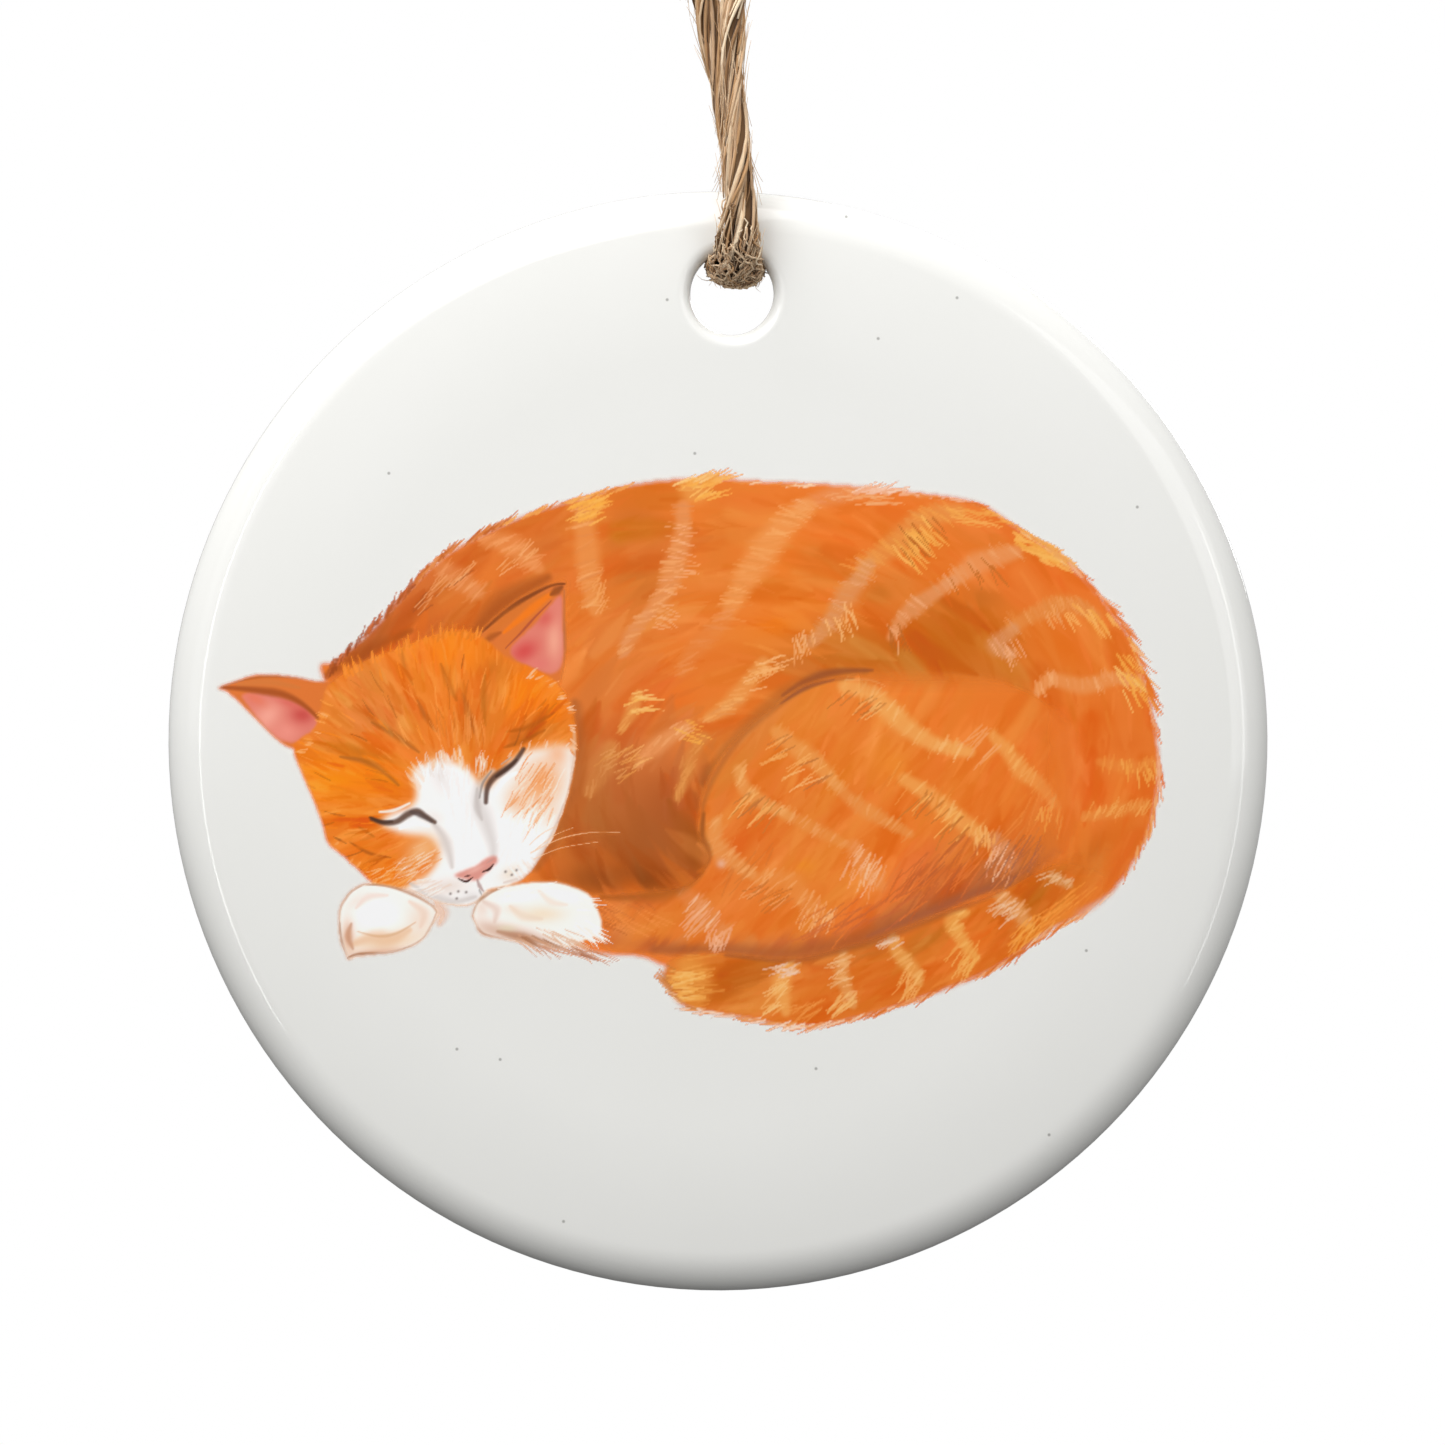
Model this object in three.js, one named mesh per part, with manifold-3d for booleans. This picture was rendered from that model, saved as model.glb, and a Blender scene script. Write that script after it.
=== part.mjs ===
// Hanging ceramic ornament: a round glazed disc with a sleeping cat printed on its front, on a loop of jute
// twine. Millimetres, +Z up, +X to the right, and the printed front faces -Y. The origin is the hang point:
// the top of the twine loop, just under its knot, where a hook or a nail carries the ornament.
import * as THREE from 'three';
import { mergeVertices } from 'three/addons/utils/BufferGeometryUtils.js';
import Module from 'manifold-3d';

const wasm = await Module();
wasm.setup();

// Driving dimensions
const discRadius = 35;
const discThickness = 3;
const rimWidth = 2.4; // how far the rounded rim reaches in from the edge
const holeRadius = 2.65;
const holeAboveCentre = 28.5;
const mouthRadius = 0.8; // the rounding where the hole meets each face
const hangLength = 55; // from the hang point down to the hole's centre
const twineDiameter = 2.2;
const bightRadius = 3.3; // the turn that the twine makes through the hole and round the web above it
const bightAboveHole = 4.2; // the middle of that turn
const bightSide = 0.3; // the twine sits a little to the right in the hole
const knotHeight = 8;
const knotRadius = 4;
const gap = 0.3; // between one node and the next along the twine
const printThickness = 0.1;
const printClearance = 0.02;
const printTurn = THREE.MathUtils.degToRad(1.8); // the picture isn't quite square to the hole

const holeZ = -hangLength;
const discZ = holeZ - holeAboveCentre;
const half = discThickness / 2;

// The twine's route down the front and up the back, from the knot to the hole. The strands leave the knot
// side by side, bow out into an open loop, and end one in front of the disc and one behind it.
const frontStrand = [
  [1.2, 0, -gap],
  [2.7, 0, -4],
  [3.9, -0.2, -9],
  [4.0, -0.5, -15],
  [3.1, -0.9, -21],
  [1.5, -1.4, -27],
  [0.2, -1.9, -32],
  [-0.5, -2.3, -36.5],
  [-0.3, -2.9, -42],
  [0.1, -3.25, -47],
];
const rearStrand = [
  [-0.3, 3.25, -47],
  [-1.2, 2.8, -42],
  [-2.3, 2.2, -36.5],
  [-3.3, 1.8, -32],
  [-4.7, 1.3, -27],
  [-5.9, 0.9, -21],
  [-6.1, 0.5, -15],
  [-5.1, 0.2, -9],
  [-3.2, 0, -4],
  [-1.2, 0, -gap],
];
const rightTail = [
  [1.2, -0.2, knotHeight + gap],
  [2.4, -0.6, knotHeight + 3],
  [4.6, -1.2, knotHeight + 5.2],
  [7.4, -1.8, knotHeight + 6],
];
const leftTail = [
  [-1.2, 0.2, knotHeight + gap],
  [-1.9, 0.6, knotHeight + 3.4],
  [-3.6, 1.0, knotHeight + 6.2],
  [-6.0, 1.3, knotHeight + 7.6],
];

// The printed picture's outline, across and up from the disc's centre: a cat curled up asleep, its head at
// the lower left with one ear out to the side, its back arched over the top and its tail round the bottom.
const catOutline = [
  [-31.7, 3.4], [-29.2, 4.2], [-24.7, 3.8], [-22.1, 7.1], [-19.7, 9.9], [-16.9, 12.1], [-12.9, 14.1],
  [-8.9, 15.6], [-4.8, 16.5], [-0.8, 16.8], [3.2, 16.6], [11.2, 16], [16.5, 15.1], [22.1, 11.5],
  [24.5, 9.3], [26.5, 6.7], [27.6, 3.5], [28.4, -2.5], [27.7, -5.8], [25.7, -8.6], [20.1, -12.8],
  [16.5, -15], [12.4, -16.6], [8.4, -17.8], [5.2, -18.3], [1.2, -17.8], [-2, -16.8], [-3.3, -15.2],
  [-3.8, -13.9], [-10.5, -12.8], [-15.2, -11.4], [-17.1, -10.6], [-18.9, -12.8], [-23.4, -13.8],
  [-24.2, -11.8], [-22.4, -9], [-25.1, -5], [-26.6, -1], [-29.8, 1.9],
];

// Points on a quarter ellipse from angle start, a quarter turn on
function quarter(centreX, centreY, reachX, reachY, start, steps) {
  const points = [];
  for (let i = 0; i <= steps; i++) {
    const angle = start + (i / steps) * (Math.PI / 2);
    points.push(new THREE.Vector2(centreX + reachX * Math.cos(angle), centreY + reachY * Math.sin(angle)));
  }
  return points;
}

function solidOf(geometry) {
  geometry.deleteAttribute('normal');
  geometry.deleteAttribute('uv');
  const merged = mergeVertices(geometry, 1e-4);
  const mesh = new wasm.Mesh({
    numProp: 3,
    vertProperties: new Float32Array(merged.attributes.position.array),
    triVerts: new Uint32Array(merged.index.array),
  });
  return new wasm.Manifold(mesh);
}

function geometryOf(solid) {
  const mesh = solid.getMesh();
  const geometry = new THREE.BufferGeometry();
  geometry.setAttribute('position', new THREE.BufferAttribute(mesh.vertProperties, 3));
  geometry.setIndex(new THREE.BufferAttribute(mesh.triVerts, 1));
  geometry.computeVertexNormals();
  return geometry;
}

// The glazed blank: flat faces, an elliptical rim all round, and a hanging hole with rounded mouths
function discGeometry() {
  const flatRadius = discRadius - rimWidth;
  const profile = [
    new THREE.Vector2(0, -half),
    ...quarter(flatRadius, 0, rimWidth, half, -Math.PI / 2, 7),
    ...quarter(flatRadius, 0, rimWidth, half, 0, 7).slice(1),
    new THREE.Vector2(0, half),
  ];
  return new THREE.LatheGeometry(profile, 96);
}

function holeCutter() {
  const past = half + 1;
  const mouth = holeRadius + mouthRadius;
  const inner = half - mouthRadius;
  const profile = [
    new THREE.Vector2(0, -past),
    new THREE.Vector2(mouth, -past),
    ...quarter(mouth, -inner, -mouthRadius, mouthRadius, -Math.PI / 2, 5),
    ...quarter(mouth, inner, -mouthRadius, mouthRadius, 0, 5),
    new THREE.Vector2(mouth, past),
    new THREE.Vector2(0, past),
  ];
  const cutter = new THREE.LatheGeometry(profile, 40);
  cutter.translate(0, 0, holeAboveCentre);
  return cutter;
}

function ceramicDisc() {
  return geometryOf(solidOf(discGeometry()).subtract(solidOf(holeCutter())));
}

// The picture as a thin plate just in front of the disc's face
function printPlate() {
  const outline = new THREE.Shape();
  const points = catOutline.map(([across, up]) => new THREE.Vector2(across, up));
  outline.moveTo(points[0].x, points[0].y);
  outline.splineThru([...points.slice(1), points[0]]);
  const plate = new THREE.ExtrudeGeometry(outline, {
    depth: printThickness,
    bevelEnabled: false,
    curveSegments: 3,
  });
  plate.rotateZ(printTurn);
  plate.rotateX(Math.PI / 2);
  plate.translate(0, -half - printClearance, 0);
  return plate;
}

function twineTube(route, steps) {
  const curve = new THREE.CatmullRomCurve3(route.map(([x, y, z]) => new THREE.Vector3(x, y, z)));
  const section = new THREE.Shape();
  section.absarc(0, 0, twineDiameter / 2, 0, 2 * Math.PI);
  return new THREE.ExtrudeGeometry(section, {
    steps,
    curveSegments: 4, // eight sides
    bevelEnabled: false,
    extrudePath: curve,
  });
}

// Down the front, half a turn through the hole under the web, and up the back
function loopRoute() {
  const middle = holeZ + bightAboveHole;
  const bight = [];
  for (let i = 0; i <= 6; i++) {
    const angle = (i / 6) * Math.PI;
    const side = bightSide * (1 - i / 6);
    bight.push([side, -bightRadius * Math.cos(angle), middle - bightRadius * Math.sin(angle)]);
  }
  return [...frontStrand, ...bight, ...rearStrand];
}

// The outer shape of the overhand knot: a barrel that narrows to the two strands at each end
function knotGeometry() {
  const neck = twineDiameter;
  const profile = [
    [0, 0],
    [neck * 0.8, 0],
    [knotRadius * 0.9, knotHeight * 0.18],
    [knotRadius, knotHeight * 0.4],
    [knotRadius, knotHeight * 0.62],
    [knotRadius * 0.85, knotHeight * 0.85],
    [neck * 0.8, knotHeight],
    [0, knotHeight],
  ];
  const barrel = new THREE.LatheGeometry(profile.map(([x, y]) => new THREE.Vector2(x, y)), 16);
  barrel.rotateX(Math.PI / 2);
  return barrel;
}

const glaze = { color: 0xededea, roughness: 0.12, metalness: 0 };
const ink = { color: 0xe8752a, roughness: 0.14, metalness: 0 };
const jute = { color: 0xa8845c, roughness: 0.9, metalness: 0 };

const ornament = new THREE.Group();

function add(parent, name, geometry, finish) {
  const piece = new THREE.Mesh(geometry, new THREE.MeshStandardMaterial(finish));
  piece.name = name;
  parent.add(piece);
}

const disc = new THREE.Group();
disc.position.z = discZ;
add(disc, 'ceramic_disc', ceramicDisc(), glaze);
add(disc, 'cat_print', printPlate(), ink);

const twine = new THREE.Group();
add(twine, 'twine_loop', twineTube(loopRoute(), 52), jute);
add(twine, 'twine_knot', knotGeometry(), jute);
add(twine, 'twine_tail_right', twineTube(rightTail, 5), jute);
add(twine, 'twine_tail_left', twineTube(leftTail, 5), jute);

ornament.add(disc, twine);

export default ornament;
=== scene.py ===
"""A round ceramic ornament, glazed white and printed with a sleeping ginger cat, on a loop of jute twine.

Lengths are in metres, apart from the drawing of the cat and the route of the twine, which are in
millimetres. +X is to the right, the printed front faces -Y and +Z is up.
"""
import math

import bmesh
import bpy
import numpy as np
from bpy.props import FloatProperty, FloatVectorProperty, IntProperty, PointerProperty
from mathutils import Matrix, Vector


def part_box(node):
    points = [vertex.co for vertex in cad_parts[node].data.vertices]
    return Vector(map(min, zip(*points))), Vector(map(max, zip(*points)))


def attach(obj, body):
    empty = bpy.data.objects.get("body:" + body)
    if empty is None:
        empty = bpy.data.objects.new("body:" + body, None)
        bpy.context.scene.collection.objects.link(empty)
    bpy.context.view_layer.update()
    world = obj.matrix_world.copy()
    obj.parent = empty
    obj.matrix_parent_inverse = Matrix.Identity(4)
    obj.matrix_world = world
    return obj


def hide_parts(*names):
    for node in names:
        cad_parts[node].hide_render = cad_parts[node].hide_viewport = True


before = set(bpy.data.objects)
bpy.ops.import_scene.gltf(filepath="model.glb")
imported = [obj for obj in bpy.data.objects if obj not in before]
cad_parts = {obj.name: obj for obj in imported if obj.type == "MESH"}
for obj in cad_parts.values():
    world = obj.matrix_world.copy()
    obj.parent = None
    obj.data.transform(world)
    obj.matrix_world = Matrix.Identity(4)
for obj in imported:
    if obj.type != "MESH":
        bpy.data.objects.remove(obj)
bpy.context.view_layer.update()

bl_info = {
    "name": "Ceramic cat ornament",
    "version": (1, 0, 0),
    "blender": (4, 5, 0),
    "location": "3D View > Sidebar > Ornament",
    "description": "Builds a printed ceramic disc on a loop of jute twine",
    "category": "Add Mesh",
}

DISC_LOW, DISC_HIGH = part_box("ceramic_disc")
DISC_CENTRE_Z = (DISC_LOW[2] + DISC_HIGH[2]) / 2
MM = 0.001


def length_setting(name, description, default, precision=5):
    """A setting that is a length in metres, with the digits that the panel shows."""
    return FloatProperty(name=name, description=description, default=default, subtype="DISTANCE",
                         unit="LENGTH", precision=precision)


def angle_setting(name, description, degrees):
    """A setting that is an angle."""
    return FloatProperty(name=name, description=description, default=math.radians(degrees),
                         subtype="ANGLE", unit="ROTATION")


def colour_setting(name, description, default):
    """A setting that is a colour."""
    return FloatVectorProperty(name=name, description=description, default=default, subtype="COLOR",
                               min=0, max=1)


class DiscSettings(bpy.types.PropertyGroup):
    """Sizes and glaze of the ceramic disc."""

    rim_width: length_setting("Rim Width", "How far the rounded rim reaches in from the edge", 2.4 * MM)
    hole_radius: length_setting("Hole Radius", "Radius of the hanging hole", 2.65 * MM)
    hole_rise: length_setting("Hole Rise", "The hole's centre above the disc's centre", 28.5 * MM)
    mouth_radius: length_setting("Mouth Radius", "Rounding where the hole meets each face", 0.8 * MM)
    facets: IntProperty(
        name="Facets", description="Steps round the rim and round the hole", default=160, min=24)
    glaze: colour_setting("Glaze", "Colour of the white glaze", (0.86, 0.858, 0.832))


class PrintSettings(bpy.types.PropertyGroup):
    """Fineness and place of the printed cat."""

    cell: FloatProperty(
        name="Fur Cell", description="Step of the drawing on the body, in millimetres", default=0.1,
        min=0.05)
    fine_cell: FloatProperty(
        name="Face Cell", description="Step of the drawing on the head, in millimetres", default=0.07,
        min=0.05)
    turn: angle_setting("Turn", "How far the picture is turned from square with the hole", 1.8)
    lift: length_setting("Lift", "Height of the first layer of ink over the glaze", 0.024 * MM, 6)
    layer: length_setting("Layer", "Height of one layer of ink over the last", 0.006 * MM, 6)


class TwineSettings(bpy.types.PropertyGroup):
    """Make-up of the jute twine."""

    radius: FloatProperty(
        name="Radius", description="Radius of the twine, in millimetres", default=1.1, min=0.2)
    lay: FloatProperty(
        name="Lay", description="Length in which a ply goes once round the twine, in millimetres",
        default=15, min=2)
    bundles: IntProperty(
        name="Bundles", description="Fibre bundles seen side by side in a ply", default=17, min=3)
    # Straw, with pale, also lightens the fibres at the hole: painted light on the bend's shaded underside
    straw: colour_setting("Straw", "A few bleached fibres", (0.92, 0.74, 0.52))
    pale: colour_setting("Pale", "Light fibres", (0.76, 0.56, 0.36))
    tan: colour_setting("Tan", "Most of the fibres", (0.62, 0.41, 0.24))
    ochre: colour_setting("Ochre", "Warmer fibres", (0.52, 0.30, 0.14))
    brown: colour_setting("Brown", "Dark fibres", (0.27, 0.14, 0.055))
    # Painted shade: near-black stands in for shade in the gaps, as each ply's heart and some rear fibres
    core: colour_setting("Core", "The dark between the fibres", (0.12, 0.06, 0.022))


class StageSettings(bpy.types.PropertyGroup):
    """Camera, floor and lights."""

    field: length_setting("Field", "Width that the camera sees at the disc", 92.04 * MM, 2)
    lens: FloatProperty(name="Lens", description="Focal length, in millimetres", default=240, min=10)
    roll: angle_setting("Roll", "How far the camera is rolled", 1.79)
    aim: FloatVectorProperty(
        name="Aim", description="Aim to the right of the disc's centre and above it", size=2,
        default=(0.287 * MM, 1.178 * MM), subtype="XYZ", unit="LENGTH", precision=5)
    floor_height: length_setting("Floor Height", "Height of the floor", -0.2, 2)
    floor_radius: length_setting("Floor Radius", "Radius of the floor", 0.85, 2)


class Value:
    """An output socket. Python's arithmetic on it adds Math nodes."""

    def __init__(self, nodes, socket):
        self.nodes = nodes
        self.socket = socket

    def math(self, operation, first, second=0.0):
        """A Math node on two values or numbers."""
        return self.nodes.add("ShaderNodeMath", {0: first, 1: second}, operation=operation)

    def __add__(self, other):
        return self.math("ADD", self, other)

    def __radd__(self, other):
        return self.math("ADD", other, self)

    def __sub__(self, other):
        return self.math("SUBTRACT", self, other)

    def __rsub__(self, other):
        return self.math("SUBTRACT", other, self)

    def __mul__(self, other):
        return self.math("MULTIPLY", self, other)

    def __rmul__(self, other):
        return self.math("MULTIPLY", other, self)


class Nodes:
    """A node tree that is filled by one method."""

    def __init__(self, tree):
        self.tree = tree
        tree.nodes.clear()

    def add(self, kind, inputs=None, output=0, stops=None, **settings):
        """Adds a node: its settings first, then a ramp's stops, then values or links on its sockets."""
        node = self.tree.nodes.new(kind)
        for name, value in settings.items():
            setattr(node, name, value)
        if stops:
            ramp = node.color_ramp.elements
            while len(ramp) < len(stops):
                ramp.new(0.5)
            for element, (position, colour) in zip(ramp, stops):
                element.position = position
                element.color = (*colour, 1)
        for name, value in (inputs or {}).items():
            if isinstance(value, Value):
                self.tree.links.new(value.socket, node.inputs[name])
            else:
                node.inputs[name].default_value = value
        return Value(self, node.outputs[output]) if node.outputs else None


def opaque(colour):
    """A colour property as a socket's colour."""
    return (*colour, 1)


def new_material(name):
    """A material and its empty node tree."""
    material = bpy.data.materials.new(name)
    material.use_nodes = True
    return material, Nodes(material.node_tree)


# The relief of the glaze, as a bump: its height for a noise of 1, how far from the disc's centre the face
# begins to fall away, and how fast, for each square metre.
GLAZE_RELIEF = 0.03 * MM
FALL_START = 24.5 * MM
FALL_RATE = 210000
GLAZE_IOR = 1.5


def glaze_surface(nodes):
    """Place, roughness and normal of a fired glaze: slow ripples, a finer orange peel, a little unevenness,
    and the faint fall of the face towards the rim."""
    place = nodes.add("ShaderNodeTexCoord", output="Object")
    ripple = nodes.add("ShaderNodeTexNoise", {"Vector": place, "Scale": 70, "Detail": 1}, output="Fac")
    peel = nodes.add("ShaderNodeTexNoise", {"Vector": place, "Scale": 420, "Detail": 2}, output="Fac")
    centre = (0, 0, DISC_CENTRE_Z)
    radius = nodes.add("ShaderNodeVectorMath", {0: place, 1: centre}, output="Value", operation="DISTANCE")
    past = nodes.add("ShaderNodeMath", {0: radius - FALL_START, 1: 0.0}, operation="MAXIMUM")
    height = ripple + peel * 0.05 - past * past * FALL_RATE
    normal = nodes.add("ShaderNodeBump", {"Height": height, "Strength": 1.0, "Distance": GLAZE_RELIEF},
                       output="Normal")
    patches = nodes.add("ShaderNodeTexNoise", {"Vector": place, "Scale": 160, "Detail": 3}, output="Fac")
    roughness = 0.055 + patches * 0.05
    return place, roughness, normal


def glaze_material(settings):
    """White glaze with a faint cloudiness and a few pinholes."""
    material, nodes = new_material("white_glaze")
    place, roughness, normal = glaze_surface(nodes)
    cloud = nodes.add("ShaderNodeTexNoise", {"Vector": place, "Scale": 55, "Detail": 4, "Roughness": 0.6},
                      output="Fac")
    tint = tuple(c * f for c, f in zip(settings.glaze, (0.965, 0.965, 0.955)))
    white = nodes.add("ShaderNodeMix", {"Factor": cloud, 6: opaque(settings.glaze), 7: opaque(tint)}, 2,
                      data_type="RGBA")
    parts = nodes.add("ShaderNodeSeparateXYZ", {"Vector": place}, output="X")
    height = Value(nodes, parts.socket.node.outputs["Z"])
    flat = nodes.add("ShaderNodeCombineXYZ", {"X": parts, "Y": height})
    cells = nodes.add("ShaderNodeTexVoronoi", {"Vector": flat, "Scale": 70}, output="Distance",
                      voronoi_dimensions="2D")
    pinhole = nodes.add("ShaderNodeMapRange", {"Value": cells, "From Min": 0.004, "From Max": 0.009,
                                               "To Min": 0.75, "To Max": 0})
    grey = nodes.add("ShaderNodeMix", {"Factor": pinhole, 6: white, 7: (0.3, 0.29, 0.27, 1)}, 2,
                     data_type="RGBA")
    shader = nodes.add("ShaderNodeBsdfPrincipled", {"Base Color": grey, "Roughness": roughness,
                                                    "Normal": normal, "IOR": GLAZE_IOR})
    nodes.add("ShaderNodeOutputMaterial", {"Surface": shader})
    return material


def ink_material():
    """Fired ink under the same gloss: its colour and its cover are painted on the layer."""
    material, nodes = new_material("cat_ink")
    _, roughness, normal = glaze_surface(nodes)
    painted = nodes.add("ShaderNodeAttribute", output="Color", attribute_name="ink")
    cover = Value(nodes, painted.socket.node.outputs["Alpha"])
    shader = nodes.add("ShaderNodeBsdfPrincipled", {"Base Color": painted, "Alpha": cover,
                                                    "Roughness": roughness, "Normal": normal,
                                                    "IOR": GLAZE_IOR})
    nodes.add("ShaderNodeOutputMaterial", {"Surface": shader})
    return material


def fibre_material(name, shade, roughness):
    """One shade of jute. The twine's texture is in its fibres, so each shade is plain."""
    material, nodes = new_material(name)
    shader = nodes.add("ShaderNodeBsdfPrincipled", {"Base Color": opaque(shade), "Roughness": roughness,
                                                    "Specular IOR Level": 0.25, "Sheen Weight": 0.15,
                                                    "Sheen Roughness": 0.6})
    nodes.add("ShaderNodeOutputMaterial", {"Surface": shader})
    return material


SHADES = ("straw", "pale", "tan", "ochre", "brown", "core")


def fibre_materials(settings):
    """The shades of jute in the order of SHADES, made once and shared by all the pieces of twine."""
    made = []
    for shade in SHADES:
        name = "jute_" + shade
        roughness = 0.95 if shade == "core" else 0.75
        made.append(bpy.data.materials.get(name)
                    or fibre_material(name, getattr(settings, shade), roughness))
    return made


# The painted cat. Everything here is in millimetres across and up from the disc's centre, and colours are
# the inks as they look on the white glaze.


def ink(code):
    """An ink such as "#e87b31" as shares of red, green and blue."""
    return np.array([int(code[i:i + 2], 16) for i in (1, 3, 5)]) / 255


def linear(shares):
    """Shares of red, green and blue as a shader counts them."""
    return np.where(shares <= 0.04045, shares / 12.92, ((shares + 0.055) / 1.055) ** 2.4)


def linear_ink(shares):
    """The ink that looks so under the gloss, which adds a little white and takes a little light."""
    return np.clip((linear(np.clip(shares, 0, 1)) - 0.008) / 0.93, 0.004, 0.96)


def heading_step(degrees):
    """A step of 1 in a direction, counted anticlockwise from the right."""
    return np.array([math.cos(math.radians(degrees)), math.sin(math.radians(degrees))])


def smooth_line(points, closed=False, steps=8):
    """A smooth line through a few points, flat or in space."""
    p = np.array(points, float)
    count = len(p)
    line = []
    for i in range(count if closed else count - 1):
        if closed:
            a, b, c, d = p[i - 1], p[i], p[(i + 1) % count], p[(i + 2) % count]
        else:
            a, b, c, d = p[max(i - 1, 0)], p[i], p[i + 1], p[min(i + 2, count - 1)]
        for t in np.arange(steps) / steps:
            line.append(0.5 * (2 * b + (c - a) * t + (2 * a - 5 * b + 4 * c - d) * t**2
                               + (3 * b - a - 3 * c + d) * t**3))
    if not closed:
        line.append(p[-1])
    return np.array(line)


def inside(outline, across, up):
    """True where a point lies within a closed outline."""
    hit = np.zeros(across.shape, bool)
    for (ax, ay), (bx, by) in zip(outline, np.roll(outline, -1, 0)):
        if ay != by:
            hit ^= ((ay > up) != (by > up)) & (across < (bx - ax) * (up - ay) / (by - ay) + ax)
    return hit


def softened(mask, cells):
    """A mask whose edge is spread over a few cells to each side."""
    mask = mask.astype(float)
    if cells < 1:
        return mask
    size = 2 * cells + 1
    for axis in (0, 1, 0, 1):
        pad = [(size, size) if a == axis else (0, 0) for a in (0, 1)]
        total = np.cumsum(np.pad(mask, pad, mode="edge"), axis)
        ends = np.arange(mask.shape[axis]) + cells
        mask = (np.take(total, ends + size, axis) - np.take(total, ends, axis)) / size
    return mask


class Canvas:
    """A layer of ink on a grid of cells: a colour and a cover, from 0 for bare glaze to 1."""

    def __init__(self, outline, margin, pitch, seed, base, edge=0.08):
        low, high = outline.min(0) - margin, outline.max(0) + margin
        self.low, self.pitch = low, pitch
        self.across, self.up = np.meshgrid(np.arange(low[0], high[0], pitch),
                                           np.arange(low[1], high[1], pitch))
        self.colour = np.ones(self.across.shape + (3,)) * ink(base)
        shape = inside(outline, self.across, self.up)
        self.cover = softened(shape, int(round(edge / pitch)))
        self.area = np.ones(self.across.shape)
        self.chance = np.random.RandomState(seed)
        self.spots = np.argwhere(shape)

    def window(self, low, high):
        """The rows and columns between two corners."""
        rows, columns = self.across.shape
        first = np.clip((low - self.low) / self.pitch, 0, (columns, rows)).astype(int)
        last = np.clip((high - self.low) / self.pitch + 1, 0, (columns, rows)).astype(int)
        return slice(first[1], last[1]), slice(first[0], last[0])

    def lay(self, strength, colour, where=(slice(None), slice(None))):
        """Covers cells with a colour."""
        strength = (strength * self.area[where])[..., None]
        tone = ink(colour) if isinstance(colour, str) else colour
        self.colour[where] += strength * (tone - self.colour[where])

    def within(self, outline, soft):
        """Keeps what comes next inside an outline; None lifts the limit."""
        if outline is None:
            self.area = np.ones(self.across.shape)
        else:
            shape = inside(smooth_line(outline, True), self.across, self.up)
            self.area = softened(shape, int(round(soft / self.pitch)))

    def glow(self, centre, reach, colour, strength=0.7, turn=0.0):
        """A soft oval of colour."""
        span = 1.9 * max(reach)
        where = self.window(np.array(centre) - span, np.array(centre) + span)
        x, y = self.across[where] - centre[0], self.up[where] - centre[1]
        cos, sin = math.cos(math.radians(turn)), math.sin(math.radians(turn))
        far = ((x * cos + y * sin) / reach[0]) ** 2 + ((y * cos - x * sin) / reach[1]) ** 2
        self.lay(strength * np.clip(np.exp(-far * 1.4) - 0.006, 0, 1), colour, where)

    def brush(self, line, width, colour, strength=0.8, soft=0.5, ends=(1.0, 1.0), grow=False):
        """One stroke along a line, narrowing to the given shares of its width at its ends. A stroke that
        grows also puts ink on bare glaze."""
        line = np.array(line, float)
        reach = width * 0.5 * (1 + soft) + self.pitch
        where = self.window(line.min(0) - reach, line.max(0) + reach)
        x, y = self.across[where], self.up[where]
        if not x.size:
            return
        nearest = np.full(x.shape, 9.0)
        count = len(line) - 1
        for i in range(count):
            a, d = line[i], line[i + 1] - line[i]
            t = np.clip(((x - a[0]) * d[0] + (y - a[1]) * d[1]) / max(d @ d, 1e-9), 0, 1)
            along = (i + t) / count
            share = np.where(along < 0.5, ends[0] + (1 - ends[0]) * 2 * along,
                             ends[1] + (1 - ends[1]) * 2 * (1 - along))
            far = np.hypot(x - a[0] - t * d[0], y - a[1] - t * d[1])
            nearest = np.minimum(nearest, far / np.maximum(width * 0.5 * share, self.pitch * 0.4))
        edge = np.clip((1 + soft - nearest) / max(2 * soft, 0.05), 0, 1)
        edge = strength * edge * edge * (3 - 2 * edge)
        if grow:
            self.cover[where] = 1 - (1 - self.cover[where]) * (1 - edge)
        self.lay(edge, colour, where)

    def lines(self, strokes, end=0.35):
        """Strokes given as (points, width, colour, strength, softness). The ends are a share as wide."""
        for points, width, colour, strength, soft in strokes:
            self.brush(smooth_line(points), width, colour, strength, soft, (end, end))

    def glows(self, ovals):
        """Soft ovals given as (centre, reach, colour, strength, turn)."""
        for oval in ovals:
            self.glow(*oval)

    def spot(self):
        """A place somewhere on the shape."""
        row, column = self.spots[self.chance.randint(len(self.spots))]
        return self.low + np.array([column, row]) * self.pitch

    def tone_at(self, place):
        """The colour of the paint at a place."""
        column, row = ((place - self.low) / self.pitch).astype(int)
        rows, columns = self.across.shape
        return self.colour[min(max(row, 0), rows - 1), min(max(column, 0), columns - 1)]

    def hair(self, root, heading, length, width, colour, strength, bend=20, soft=0.45, grow=False):
        """One hair from its root, turning a little over its length."""
        turn = math.radians(self.chance.uniform(-bend, bend))
        angle = math.radians(heading)
        line = [np.array(root, float)]
        for i in range(3):
            lean = angle + turn * (i + 0.5) / 3
            line.append(line[-1] + length / 3 * np.array([math.cos(lean), math.sin(lean)]))
        self.brush(line, width, colour, strength, soft, (0.75, 0.15), grow)

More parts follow.
